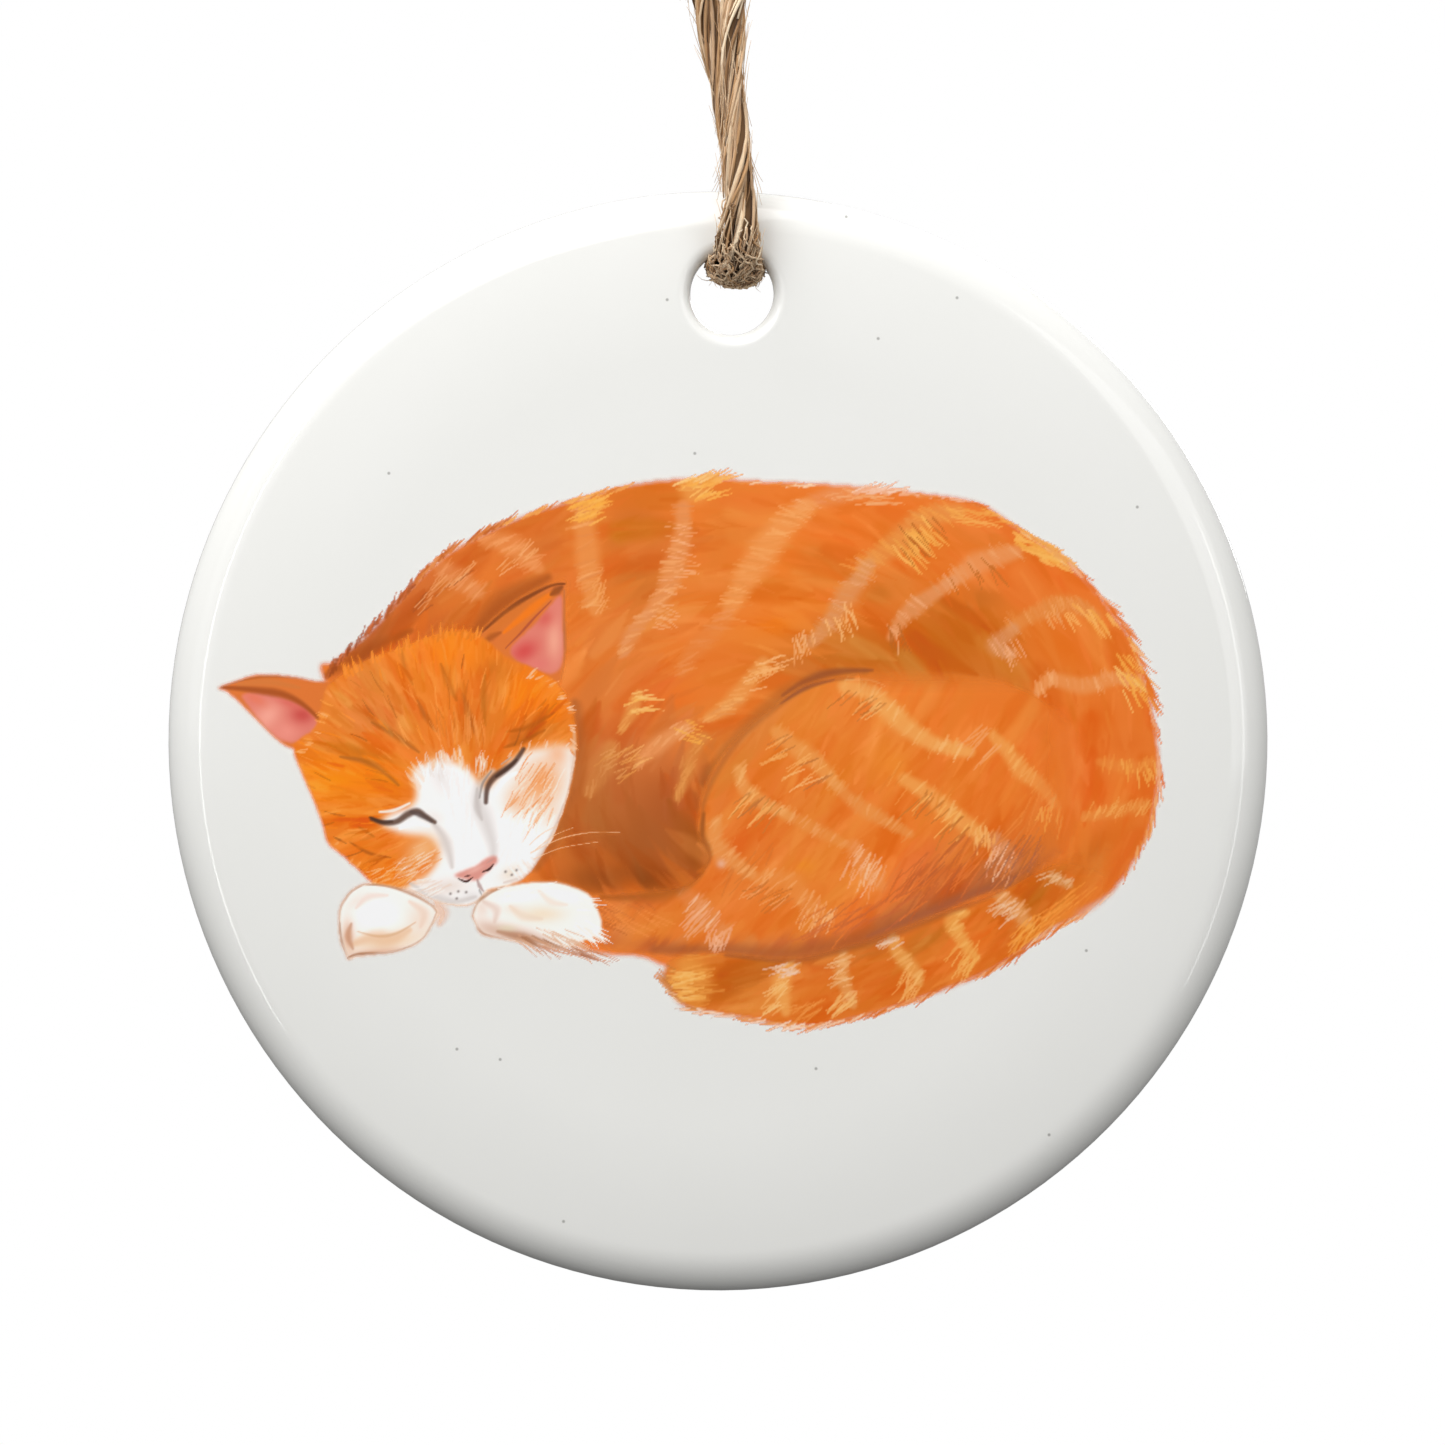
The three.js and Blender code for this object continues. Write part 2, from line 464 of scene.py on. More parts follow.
    def daubs(self, count, length, width, flow, strength, spread=12, contrast=0.07, soft=0.5):
        """Strokes that drag the paint that is already there, a little lighter, darker or warmer."""
        chance = self.chance
        for _ in range(count):
            place = self.spot()
            shift = chance.uniform(-contrast, contrast)
            warmth = chance.uniform(-contrast, contrast) * 0.5
            change = np.array([shift * 0.5, shift + warmth, shift + 0.5 * warmth])
            tone = np.clip(self.tone_at(place) + change, 0, 1)
            self.hair(place, flow(*place) + chance.uniform(-spread, spread),
                      length * chance.uniform(0.6, 1.3), width * chance.uniform(0.6, 1.3), tone, strength,
                      bend=14, soft=soft)

    def comb(self, points, width, tones, flow, strength, density):
        """A stripe: soft paint below, and fine hairs that cross it the way the fur lies."""
        chance = self.chance
        line = smooth_line(points)
        self.brush(line, width * 1.1, tones[0], strength * 0.95, 0.6, (0.6, 0.5))
        length = np.hypot(*np.diff(line, axis=0).T).sum()
        for _ in range(int(length * density)):
            i = chance.randint(len(line) - 1)
            place = line[i] + (line[i + 1] - line[i]) * chance.uniform() + chance.normal(0, 0.16 * width, 2)
            heading = flow(*place) + chance.uniform(-13, 13)
            size = width * chance.uniform(0.55, 1.25)
            start = place - 0.5 * size * heading_step(heading)
            tone = tones[chance.randint(len(tones))]
            self.hair(start, heading, size, chance.uniform(0.1, 0.22), tone,
                      strength * chance.uniform(0.3, 0.9), bend=24, soft=0.4)

    def tuft(self, centre, reach, turn, heading, count, length, tones, strength=0.85, width=0.13,
             grow=False):
        """A bunch of crisp hairs on an oval patch."""
        chance = self.chance
        cos, sin = math.cos(math.radians(turn)), math.sin(math.radians(turn))
        for _ in range(count):
            a, b = chance.uniform(-1, 1, 2) * reach
            root = (centre[0] + a * cos - b * sin, centre[1] + a * sin + b * cos)
            self.hair(root, heading + chance.uniform(-10, 10), length * chance.uniform(0.6, 1.2),
                      width * chance.uniform(0.7, 1.3), tones[chance.randint(len(tones))], strength,
                      bend=16, soft=0.35, grow=grow)

    def fringe(self, points, headings, length, density, tones, width=0.16, strength=0.9, set_back=0.25):
        """Hairs along an edge that stick out over it; the heading turns from the first to the last."""
        chance = self.chance
        line = smooth_line(points)
        span = np.hypot(*np.diff(line, axis=0).T).sum()
        for _ in range(int(span * density)):
            share = chance.uniform() * (len(line) - 1.001)
            i = int(share)
            place = line[i] + (line[i + 1] - line[i]) * (share - i)
            heading = headings[0] + (headings[1] - headings[0]) * share / (len(line) - 1)
            heading += chance.uniform(-9, 9)
            lean = heading_step(heading)
            size = length * chance.uniform(0.45, 1.25)
            tone = tones[chance.randint(len(tones))] if tones else self.tone_at(place)
            self.hair(place - lean * (set_back + chance.uniform(0, 0.4)), heading, size + set_back,
                      width * chance.uniform(0.9, 1.6), tone, strength, bend=12, soft=0.4, grow=True)

BACK = [
    (-25.1, 4), (-24.3, 5.1), (-22.3, 6.8), (-20.8, 8.4), (-19, 10.3), (-16.9, 12.1), (-12.9, 14.1),
    (-8.9, 15.4),
    (-5, 16.4), (-1, 16.7), (3.2, 16.5), (7.5, 16.3), (11.5, 15.9), (16.3, 15.2), (19, 13.6), (21.2, 12.1),
    (23.6, 10), (25.3, 7.9), (26.4, 6.2), (27.2, 4), (27.7, 1.5), (28.05, -1.5), (27.8, -4), (27.2, -6.2),
    (25.6, -8.9), (23.2, -10.6), (16, -12.6), (5, -14.4), (-2, -14.6), (-5, -13.7), (-8.5, -13.2),
    (-14, -10),
    (-20, -4),
]
BACK_TONES = [
    ((2, 6), (26, 14), "#e67b31", 0.5, 0),
    ((-7, 4), (4, 9), "#e68038", 0.6, 0),
    ((-8, 4), (2.2, 7), "#d97638", 0.75, 0),
    ((-5.3, 12.2), (2.4, 4.2), "#c66a2a", 0.95, 0),
    ((-4.6, 9.6), (1.6, 2), "#cf7330", 0.6, 0),
    ((-6.2, 13.2), (0.8, 0.6), "#cf842c", 0.7, 0),
    ((-4.2, 15.9), (3.2, 0.8), "#d66f24", 0.8, 5),
    ((-11.6, 12.4), (2.6, 1.7), "#c8662a", 0.9, 30),
    ((-15.2, 12.6), (2.2, 0.8), "#e0793a", 0.6, 28),
    ((-20, 8), (6, 1.5), "#bf6029", 0.95, 42),
    ((-22.5, 5.4), (2, 0.9), "#a9502a", 0.8, 40),
    ((-14.5, 8), (5, 1.6), "#c2642b", 0.9, 32),
    ((-19, 6.6), (3, 0.8), "#c05c28", 0.8, 35),
    ((-16, 11), (3, 1), "#e08142", 0.5, 35),
    ((0, 13), (1.6, 4), "#dd7a31", 0.7, -10),
    ((0.4, 9.6), (1.2, 2.4), "#de762b", 0.6, -30),
    ((4, 10.5), (1.6, 3.6), "#ec7d2d", 0.7, -25),
    ((3.6, 7.4), (2.4, 1.3), "#ef7a20", 0.8, 20),
    ((6.4, 9), (1.6, 1.2), "#e87a2e", 0.6, 0),
    ((7.6, 13.4), (2.4, 1.5), "#f0762b", 0.8, 0),
    ((6.2, 11.3), (1.6, 1.3), "#cf732c", 0.75, 0),
    ((10.6, 9.6), (2, 1), "#ca7029", 0.85, 20),
    ((9, 7.6), (1.2, 0.8), "#dd6f26", 0.6, 0),
    ((15.5, 8.8), (3.8, 1.5), "#c66a26", 0.9, 15),
    ((11, 5.8), (8, 2.1), "#c0661f", 1, 3),
    ((15.5, 6.6), (3.6, 2.1), "#c96a20", 0.9, 0),
    ((17.5, 4.4), (5, 1), "#cc7029", 0.7, -5),
    ((6.5, 5.6), (2.6, 1.5), "#c96d26", 0.8, 30),
    ((4.4, 4.3), (1.6, 1.2), "#cc7436", 0.6, 30),
    ((18.8, 10.6), (4, 1.3), "#e5702a", 0.8, -10),
    ((22, 10.6), (2.6, 1), "#ea6f28", 0.8, -35),
    ((16.8, 13), (2.4, 1), "#dd762e", 0.75, -20),
    ((12.2, 14.9), (3.4, 0.6), "#e9732a", 0.7, -5),
    ((22.6, 6), (3.4, 1.8), "#e26f22", 0.9, -20),
    ((25.2, 6.4), (1.2, 2), "#e1702a", 0.7, 25),
    ((24, 1.6), (4, 1.4), "#e26d25", 0.85, 0),
    ((26, -0.2), (1.6, 1), "#e06c27", 0.6, 0),
    ((25.3, -3), (2.8, 1), "#e86a24", 0.8, 0),
    ((24.6, -6.4), (3, 1.2), "#dd6c26", 0.8, 20),
    ((23.6, -7.4), (2.6, 1), "#cf6b25", 0.85, 40),
    ((21, -8.8), (2.6, 0.9), "#bd681f", 0.9, 10),
    ((-3, 2.2), (2.2, 1.8), "#e76f27", 0.75, 0),
    ((-1.2, 4.6), (2, 1.6), "#e37931", 0.6, 0),
    ((-1, 8.7), (2, 1), "#e17329", 0.6, 20),
    ((-5.6, 6.2), (1.8, 2.4), "#dd8040", 0.5, 0),
    ((-6, -1), (4, 3), "#d67640", 0.8, 0),
    ((-3.4, -0.8), (1.6, 1.4), "#d9753f", 0.7, 20),
    ((-6, -4), (4.8, 3.2), "#c26a36", 0.95, 0),
    ((-3, -4.6), (2.8, 3.6), "#b05a2c", 0.95, 0),
    ((-7.2, -5.4), (2, 1.6), "#c46a35", 0.6, 20),
    ((-5.6, -6.8), (5.5, 1.8), "#a95826", 0.9, 0),
    ((-5.2, -8.7), (5.4, 1.4), "#8f4518", 1, 2),
    ((-1.3, -6), (0.9, 3.2), "#93491a", 0.9, -8),
    ((-0.9, -3), (0.7, 2.6), "#a5592a", 0.8, -8),
    ((-2.2, 0.4), (2.2, 1.2), "#de7f3b", 0.6, 40),
]
BACK_STRIPES = [
    (((-8.4, 15), (-8.5, 14), (-8.3, 12), (-8.1, 10), (-7.8, 8.3)), 1.4, ("#e99450", "#f0a868", "#e0874a"),
     0.75),
    (((-1.2, 16.4), (-1.7, 15.6)), 1.6, ("#eb9a4e", "#f4ac52", "#f0b45e"), 0.75),
    (((-2.2, 14.9), (-2.3, 12.8), (-2.8, 11), (-3.3, 9.6), (-4.5, 8)), 1.25,
     ("#e69256", "#efa76b", "#e08a50"), 0.85),
    (((-4.5, 8), (-5.6, 6.6), (-5.9, 5.6)), 0.9, ("#e2915a", "#efad72"), 0.6),
    (((10.3, 16), (7.4, 15.6), (5.2, 14.9)), 1.1, ("#e9915a", "#f2b07a", "#e8863c"), 0.7),
    (((5.6, 14.8), (4.2, 13.7), (2.9, 12), (1.8, 10.3), (0.8, 8.5)), 1.75,
     ("#ee9a56", "#f2a865", "#e58b47"), 0.75),
    (((0.6, 8), (-0.3, 7), (-1.6, 5.6), (-2.3, 4.4)), 1.2, ("#e5894a", "#ec9a5e"), 0.45),
    (((15.2, 14.6), (13, 14.1), (11.8, 12.9), (10.4, 11.9), (9.2, 11)), 1.5,
     ("#e6924a", "#f0a54e", "#efa04c"), 0.75),
    (((9.6, 11.2), (8.9, 10.2), (8.2, 9.3), (7, 7.4), (5.9, 6.2)), 1.2, ("#dd9560", "#e9a878", "#e08e4e"),
     0.7),
    (((18.9, 12), (16.5, 11.3), (15, 10.2)), 1.3, ("#e8965c", "#eda56c"), 0.8),
    (((15, 10.2), (13.2, 9), (11.9, 8), (11, 6.6)), 1.0, ("#e39560", "#eba674", "#dc8a50"), 0.8),
    (((24, 7.9), (22.4, 8.7), (20.4, 8.2), (18.6, 7.2)), 1.1, ("#e38c48", "#eda05c", "#e8944e"), 0.7),
    (((18.8, 7.1), (17.7, 6.1), (18.6, 5.6)), 1.1, ("#dc9360", "#e8a478"), 0.75),
    (((27, 3.6), (25.4, 4), (23.2, 3.5), (21.2, 3.9), (20.3, 3.1)), 0.95, ("#ea9556", "#f0a970"), 0.8),
    (((27.9, -1.3), (26.2, -1.7), (24.2, -1.3)), 0.8, ("#ea8c40", "#f0a04a"), 0.5),
    (((27.2, -4), (25.6, -4.4), (23.2, -4.9)), 0.8, ("#e98f45", "#f0a352"), 0.5),
    (((-17.8, 11.2), (-16.5, 10.3), (-15.2, 9.4)), 1.3, ("#e59058", "#efa66c"), 0.55),
    (((-14.8, 12.8), (-13, 12.4), (-11.4, 11)), 1.3, ("#ea9356", "#f0a468"), 0.65),
    (((2.9, 5), (1.7, 3.4), (0.6, 2.2), (-0.6, 1.5)), 1.1, ("#ea9a52", "#f3b068", "#e39050"), 0.75),
    (((-5, 3), (-5.5, 1.8), (-6.1, 0.8)), 0.8, ("#e79a50", "#f2b660"), 0.7),
    (((-2, 0.9), (-3.2, 0.2), (-4.5, -0.8), (-5, -1.3)), 1.0, ("#e8965a", "#f3b47c"), 0.8),
    (((-6.8, -0.4), (-7.4, -1.7), (-8.2, -3.2)), 1.35, ("#e0924c", "#f0ae66", "#d9823e"), 0.75),
    (((-0.9, 0.3), (-1.7, -0.9), (-2, -2.2), (-2.6, -3.6)), 1.0, ("#d98a45", "#e59c52"), 0.6),
]
BACK_TUFTS = [
    ((12.2, 12.9), (1.5, 0.8), 40, -48, 34, 1.7, ("#f2aa50", "#eba04a", "#f4b35c"), 0.8, 0.16),
    ((12.6, 13.5), (1.6, 0.8), 35, -42, 9, 1.6, ("#c2692c", "#b96228"), 0.8, 0.1),
    ((20.4, 12.3), (1.9, 0.8), -28, -24, 48, 1.6, ("#f2a94c", "#eda24a", "#f6b45c"), 0.8, 0.2),
    ((16, 11), (1.6, 0.6), 25, -58, 8, 1.5, ("#c66c2c", "#bf6628"), 0.75, 0.1),
    ((15.9, 14.3), (1.6, 0.5), -8, -14, 22, 1.6, ("#f3ab58", "#eea14c"), 0.7, 0.12),
    ((26.2, 4.4), (0.9, 1.4), 20, -55, 26, 1.5, ("#f4ad52", "#f2a648", "#f7bd68"), 0.9, 0.13),
    ((23.6, 8), (1.5, 0.5), -20, -52, 20, 1.3, ("#f1a44c", "#f5b060"), 0.85, 0.13),
    ((21.2, 8.4), (0.8, 0.5), 0, -72, 8, 1.1, ("#f0a862", "#e99c5c"), 0.7, 0.1),
    ((-8.7, 14.6), (0.9, 0.9), 0, 22, 34, 1.4, ("#f3aa48", "#eda048", "#f5b558"), 0.8, 0.14),
    ((-1.4, 16), (1, 0.8), 0, 24, 30, 1.5, ("#f4ae50", "#f0a24c", "#f7bd66"), 0.85, 0.13),
    ((-7.7, 9), (0.5, 0.9), 0, 62, 9, 1.1, ("#f0a868", "#eda05a"), 0.7, 0.1),
    ((-13.2, 11.2), (1.1, 0.3), 32, 42, 10, 1.2, ("#f3b27a", "#eda466"), 0.7, 0.1),
    ((-17.8, 9.4), (2, 0.4), 40, 48, 20, 1.5, ("#f0ab70", "#e5985e", "#a8522a"), 0.7, 0.09),
    ((26.6, -1.6), (1.3, 0.5), 0, -80, 12, 1, ("#f3ac54", "#f0a048"), 0.75, 0.12),
    ((25.3, -4.7), (1.8, 0.25), 5, 62, 18, 0.9, ("#f2a858", "#eea050"), 0.75, 0.1),
    ((5.4, 6.6), (0.9, 0.4), 30, -78, 14, 1.2, ("#f0b078", "#e9a060"), 0.75, 0.1),
    ((7.8, 8), (1, 0.5), 40, -70, 14, 1.2, ("#f2b06a", "#f4bc7c"), 0.7, 0.1),
    ((11.3, 7), (0.5, 0.5), 0, -75, 8, 1.3, ("#eeae7c", "#b96428"), 0.7, 0.1),
    ((18.2, 6), (0.9, 0.4), 10, -66, 10, 1.2, ("#efae80", "#e79a62"), 0.7, 0.1),
    ((-5.3, 2.4), (0.7, 0.6), 60, 12, 14, 1.2, ("#f2b058", "#f6c070"), 0.8, 0.1),
    ((-6.6, -1.5), (1, 1.2), 60, 30, 26, 1.2, ("#eda552", "#f2b468", "#d98542"), 0.7, 0.1),
    ((-2.2, 0.6), (0.6, 0.9), 0, -20, 9, 1.2, ("#f3ae4e", "#f0a448"), 0.8, 0.1),
    ((2.6, 4.4), (1.3, 0.5), 45, 18, 22, 1.3, ("#f2ae6a", "#f6bc80"), 0.7, 0.1),
    ((-3, 11.6), (0.8, 2.6), -12, -12, 26, 1.1, ("#f3b080", "#efa468"), 0.6, 0.1),
    ((8.4, 15.4), (2, 0.4), -8, 12, 14, 1.8, ("#f2b27c", "#efa46a"), 0.65, 0.1),
    ((-3.9, 7.9), (0.8, 0.5), 50, -20, 12, 1.1, ("#f0ad78", "#e99a5c"), 0.65, 0.1),
]
BACK_FRINGES = [
    (((-24.8, 4.4), (-23, 6.3), (-21, 8.3), (-19, 10.4)), (72, 62), 0.8, 6,
     ("#9c4a24", "#b35a2a", "#c8683a"), 0.13),
    (((-19, 10.4), (-16.9, 12.2), (-13.5, 13.9)), (62, 40), 1.0, 6, ("#c2652c", "#d67a3c", "#e08a50"), 0.12),
    (((-13.5, 13.9), (-9, 15.4), (-5.6, 16.2)), (34, 24), 0.8, 4, ("#d9772f", "#ea9a4e", "#f0aa58"), 0.12),
    (((-2.6, 16.4), (-1, 16.7), (0.4, 16.6)), (28, 18), 1.3, 7, ("#f2ad58", "#eb9a44", "#f6c27c"), 0.11),
    (((1, 16.5), (6, 16.2)), (12, 6), 0.5, 4, ("#e78a44", "#f3c9a4"), 0.1),
    (((8.8, 16), (11.4, 15.8)), (20, 12), 1.3, 9, ("#f0bda0", "#ecaa84", "#f4cdb4"), 0.12),
    (((11.4, 15.8), (16.4, 15.1)), (6, -14), 0.8, 4, ("#e0732b", "#f0b08a", "#e78540"), 0.13),
    (((16.4, 15.1), (19, 13.6), (21.2, 12.2)), (-24, -28), 1.0, 4, ("#e07028", "#ea8a3c", "#f0a048"), 0.14),
    (((20.4, 12.8), (22.4, 11.2)), (-28, -32), 1.3, 9, ("#f0a64c", "#f4b25c", "#eaa25a"), 0.15),
    (((22.4, 11.2), (24.6, 8.9), (26, 7)), (-38, -48), 1.3, 4.5, ("#e2702a", "#ea8444", "#f0b088"), 0.13),
    (((26, 7), (27.2, 4.2), (27.6, 2.4)), (-50, -62), 1.3, 4, ("#f0a048", "#e67a2c", "#f4b87c", "#e06d26"),
     0.13),
    (((27.6, 1.5), (28, -1), (28, -3)), (-68, -78), 1.4, 3, ("#e06a26", "#e9803c", "#f0ad84"), 0.13),
    (((28, -3), (27.4, -5.6), (25.9, -8.4)), (-84, -104), 1.0, 3, ("#dd6a28", "#e8843c", "#f0a868"), 0.13),
]
HAUNCH = [
    (8.2, 4.1), (5.5, 3.5), (3.4, 2.1), (1.2, 0.2), (-0.3, -1.9), (-1.1, -4), (-1.2, -6), (-0.6, -7.6),
    (-2, -9.2), (-6, -9.7), (-8.3, -10), (-8.3, -12), (-7, -13.2), (-4, -13.55), (0, -13.9), (4, -14.2),
    (8, -13.4), (12, -11.9), (16.5, -9.9), (20.5, -8.6), (22.8, -5.5), (23.4, -1), (21.5, 2), (17.5, 3.9),
    (12.5, 4.6),
]
HAUNCH_TONES = [
    ((9, 0), (7, 4), "#ea8736", 0.8, -25),
    ((8.6, 1.4), (3.2, 1.4), "#e8823a", 0.6, -20),
    ((12.4, 3), (3, 1), "#ee7a30", 0.7, -5),
    ((15, 1.5), (5, 2.2), "#ed7c30", 0.7, -15),
    ((11, -1.6), (2.4, 1.2), "#ef9032", 0.75, -30),
    ((19, -0.5), (3.5, 4), "#e87228", 0.8, 0),
    ((20.6, -3.4), (1.6, 1.6), "#e66e24", 0.7, 0),
    ((12, -4), (7, 3), "#e97c30", 0.7, -20),
    ((16.6, -3), (2.4, 1.2), "#e77a2c", 0.6, -20),
    ((5, -4.5), (5, 3), "#e57c34", 0.7, 0),
    ((3, -2.6), (1.6, 1.6), "#e67530", 0.7, 0),
    ((2.2, -6), (2, 1.4), "#e47331", 0.7, 0),
    ((7.5, -8), (4, 2.6), "#ea8736", 0.8, 0),
    ((5.6, -7.9), (0.8, 0.5), "#f0961e", 0.85, 0),
    ((11.4, -7), (2.6, 1.8), "#f07a31", 0.8, 20),
    ((13.4, -7.6), (1.6, 1.6), "#e5703a", 0.7, 50),
    ((15.4, -8), (4, 1.8), "#cf6a34", 0.85, 30),
    ((1.5, -8.5), (3, 2), "#e37630", 0.6, 0),
    ((2, -11), (5, 1.3), "#e8782f", 0.7, 0),
    ((9, -10.6), (3, 1.2), "#e97630", 0.7, 15),
    ((-5, -11), (4, 1.3), "#e77f38", 0.7, 0),
    ((-4.6, -10.3), (3.4, 0.5), "#d0682e", 0.7, -3),
    ((-6.6, -12.2), (1.6, 0.9), "#d98a55", 0.6, 0),
    ((5, -12.9), (6.5, 0.8), "#c76234", 0.9, 3),
    ((-3, -13), (5.2, 0.6), "#c06333", 0.9, -2),
    ((13, -10.5), (4.6, 0.9), "#b4613d", 0.95, 22),
    ((18, -8.3), (3, 1.1), "#b0623a", 0.9, 35),
    ((20.8, -6), (1.6, 2.2), "#c0662a", 0.85, -20),
    ((2, 0), (1.2, 2.4), "#dc7b39", 0.6, -40),
    ((3.5, 1.5), (3, 0.7), "#e08640", 0.7, 38),
    ((0.2, -4), (0.8, 2.6), "#e07a3a", 0.5, -10),
]
HAUNCH_STRIPES = [
    (((8, 3.5), (9.6, 3.1), (10.8, 2), (12, 0.9), (13.8, -0.2), (16, -0.7)), 1.2,
     ("#f0a85c", "#f4ba76", "#ee9f52"), 0.8),
    (((3.7, 0.6), (4.9, -0.4), (6.3, -1.4), (7.5, -2.8)), 1.1, ("#eb9c52", "#f3b470", "#e8944a"), 0.75),
    (((7.4, -2.7), (8.8, -4), (10.5, -5), (12.2, -5.9)), 0.9, ("#e89650", "#efa866"), 0.6),
    (((1.3, -1.8), (1.7, -3), (2.8, -3.9), (4.6, -4.8)), 0.95, ("#ea9d55", "#f2b26e"), 0.75),
    (((4.4, -4.7), (6.4, -5.7), (8.2, -6.6)), 0.8, ("#e8944c", "#efa768"), 0.5),
    (((-0.1, -5.2), (-0.2, -6.5), (0.9, -7.6), (2.2, -8.5)), 1.1, ("#e99a56", "#f2b070"), 0.7),
    (((2.6, -8.7), (4.4, -8.9), (5.4, -10), (6.8, -11.2)), 1.2, ("#ea8f48", "#f3b272"), 0.6),
    (((11.8, -2.4), (13.2, -3.3), (14.8, -4.6), (16.2, -5.6), (16.8, -6.4)), 1.1,
     ("#f0a355", "#f4b66c", "#eb9848"), 0.8),
    (((8.6, -6.6), (9.3, -7.9), (10.4, -9.2)), 1.2, ("#eb9252", "#f4b07c"), 0.55),
    (((17.5, 0.3), (18.5, -0.8), (19.3, -1.9), (20.5, -2.8), (21.4, -4)), 1.0,
     ("#f0a355", "#f5b466", "#ea944a"), 0.75),
    (((17.6, -6.2), (18.3, -7.3), (18.8, -8)), 1.3, ("#d98f60", "#f0b48a"), 0.6),
    (((-2.2, -9.6), (-1.1, -10.7), (0.5, -12.4)), 1.3, ("#e58d52", "#f0aa7c"), 0.55),
]
HAUNCH_TUFTS = [
    ((9.6, 2.6), (1.4, 0.4), -30, 215, 14, 1.5, ("#c26c30", "#f4b76c", "#c8743a"), 0.7, 0.1),
    ((5.6, -1.2), (2, 0.6), -38, 210, 20, 1.7, ("#f6c07c", "#c4703a", "#f2ae62"), 0.7, 0.1),
    ((3, -3.9), (1.5, 0.4), -35, 226, 18, 1.8, ("#c4723a", "#f2b064", "#c87a38"), 0.7, 0.09),
    ((14.4, -4.4), (2, 0.5), -38, 228, 20, 1.7, ("#c67034", "#f6b662", "#c87634"), 0.75, 0.1),
    ((17, -6), (0.6, 0.6), 0, -88, 12, 1.4, ("#f4b26a", "#f0a458"), 0.8, 0.1),
    ((17.3, 0.6), (1.2, 0.3), -60, 222, 10, 2, ("#f0a468", "#ee9a58"), 0.7, 0.1),
    ((21.2, -4.4), (0.7, 0.6), 0, 262, 12, 1.2, ("#f5b25c", "#f2a84e"), 0.85, 0.12),
    ((18.3, -7.4), (1, 0.8), -40, 245, 24, 1.1, ("#f2b892", "#eaa478", "#f6c8a4"), 0.75, 0.1),
    ((9.4, -7.8), (1.1, 1), -40, 245, 30, 1.2, ("#f3ae80", "#efa26a", "#f6bf94"), 0.7, 0.1),
    ((6.4, -10.6), (1.1, 0.8), -40, 245, 30, 1.2, ("#f5bb80", "#f0a666", "#e98a48"), 0.75, 0.11),
    ((3.8, -9.4), (1.2, 0.6), -10, 212, 18, 1.6, ("#c66a2e", "#f0a868", "#d8783a"), 0.6, 0.09),
    ((-0.6, -11), (1.4, 0.8), -50, 225, 26, 1.3, ("#f2ae84", "#eba070", "#f6c4a0"), 0.7, 0.11),
    ((0.2, -12.4), (0.8, 0.5), 0, 250, 16, 1, ("#f3b692", "#efa880"), 0.7, 0.1),
    ((14.6, -7.8), (3, 1.4), 20, 232, 60, 2.6, ("#c46030", "#e27a3c", "#b95c34", "#ea8440"), 0.5, 0.12),
    ((19.6, -7), (1.6, 1.4), 30, 240, 36, 2.2, ("#a85f3a", "#c87040", "#8f5a4c", "#dd7f40"), 0.6, 0.11),
    ((10, -10.6), (3.4, 0.8), 12, 214, 34, 2.2, ("#d0683a", "#ea7c34", "#c46238"), 0.5, 0.12),
    ((-5.6, -11.4), (3, 1), -4, 150, 34, 2.2, ("#d27038", "#f0924a", "#c4632f"), 0.55, 0.11),
    ((2.4, -7), (1.6, 1.2), 0, 238, 12, 1.8, ("#cf7034", "#e98a44"), 0.4, 0.12),
    ((20, -4), (1.2, 1.2), 0, 240, 10, 2.4, ("#f09248", "#e07a34"), 0.45, 0.1),
    ((12.6, -2.6), (2.4, 1), -20, 238, 12, 1.6, ("#f0a452", "#e07c30"), 0.45, 0.11),
]
TAIL = [
    (25.6, -8.9), (24, -10.6), (21, -12.1), (19, -13.6), (16.5, -15), (12.5, -16.5), (9, -17.6),
    (5.2, -18.2),
    (1.5, -17.6), (-1.8, -17), (-2.9, -16.2), (-3.5, -15), (-3.3, -14.3), (-2.6, -13.75), (0, -13.45),
    (4.6, -13.9), (8, -13.1), (11, -12.2), (14.5, -10.8), (17.5, -9.8), (20.5, -8.2), (22.5, -7.2),
    (25.5, -6.6),
]
TAIL_TONES = [
    ((1.8, -15.6), (2, 1.9), "#c1681f", 1, 0),
    ((3, -14.4), (1.6, 0.8), "#b8621f", 0.9, 0),
    ((-1.6, -15.5), (1.2, 1.6), "#e8913e", 0.85, 0),
    ((-2, -14.2), (1.2, 0.4), "#d67426", 0.8, 0),
    ((6.3, -15.8), (1.7, 1.8), "#e26e26", 0.9, 0),
    ((6.4, -14.1), (1.6, 0.5), "#c4662a", 0.8, 0),
    ((10.2, -14.8), (1.6, 1.8), "#dd6d24", 0.9, 0),
    ((10, -13.2), (1, 0.6), "#bd6828", 0.8, 15),
    ((13.6, -12.7), (1.8, 0.9), "#bd691f", 0.95, 20),
    ((14, -14.4), (2.2, 1), "#e27023", 0.8, 20),
    ((17.2, -12.4), (1.5, 1.3), "#e86c22", 0.9, 0),
    ((20.2, -10), (2, 1), "#bf6a1e", 0.95, 20),
    ((20.6, -12), (2, 0.8), "#e57e2e", 0.8, 30),
    ((23, -10), (2.2, 0.8), "#f08230", 0.9, 35),
    ((21.4, -8.6), (2, 0.6), "#bd671e", 0.9, 15),
    ((3, -17.3), (5, 0.5), "#e0782f", 0.7, -5),
    ((12, -16.2), (5, 0.5), "#dd7330", 0.6, 18),
]
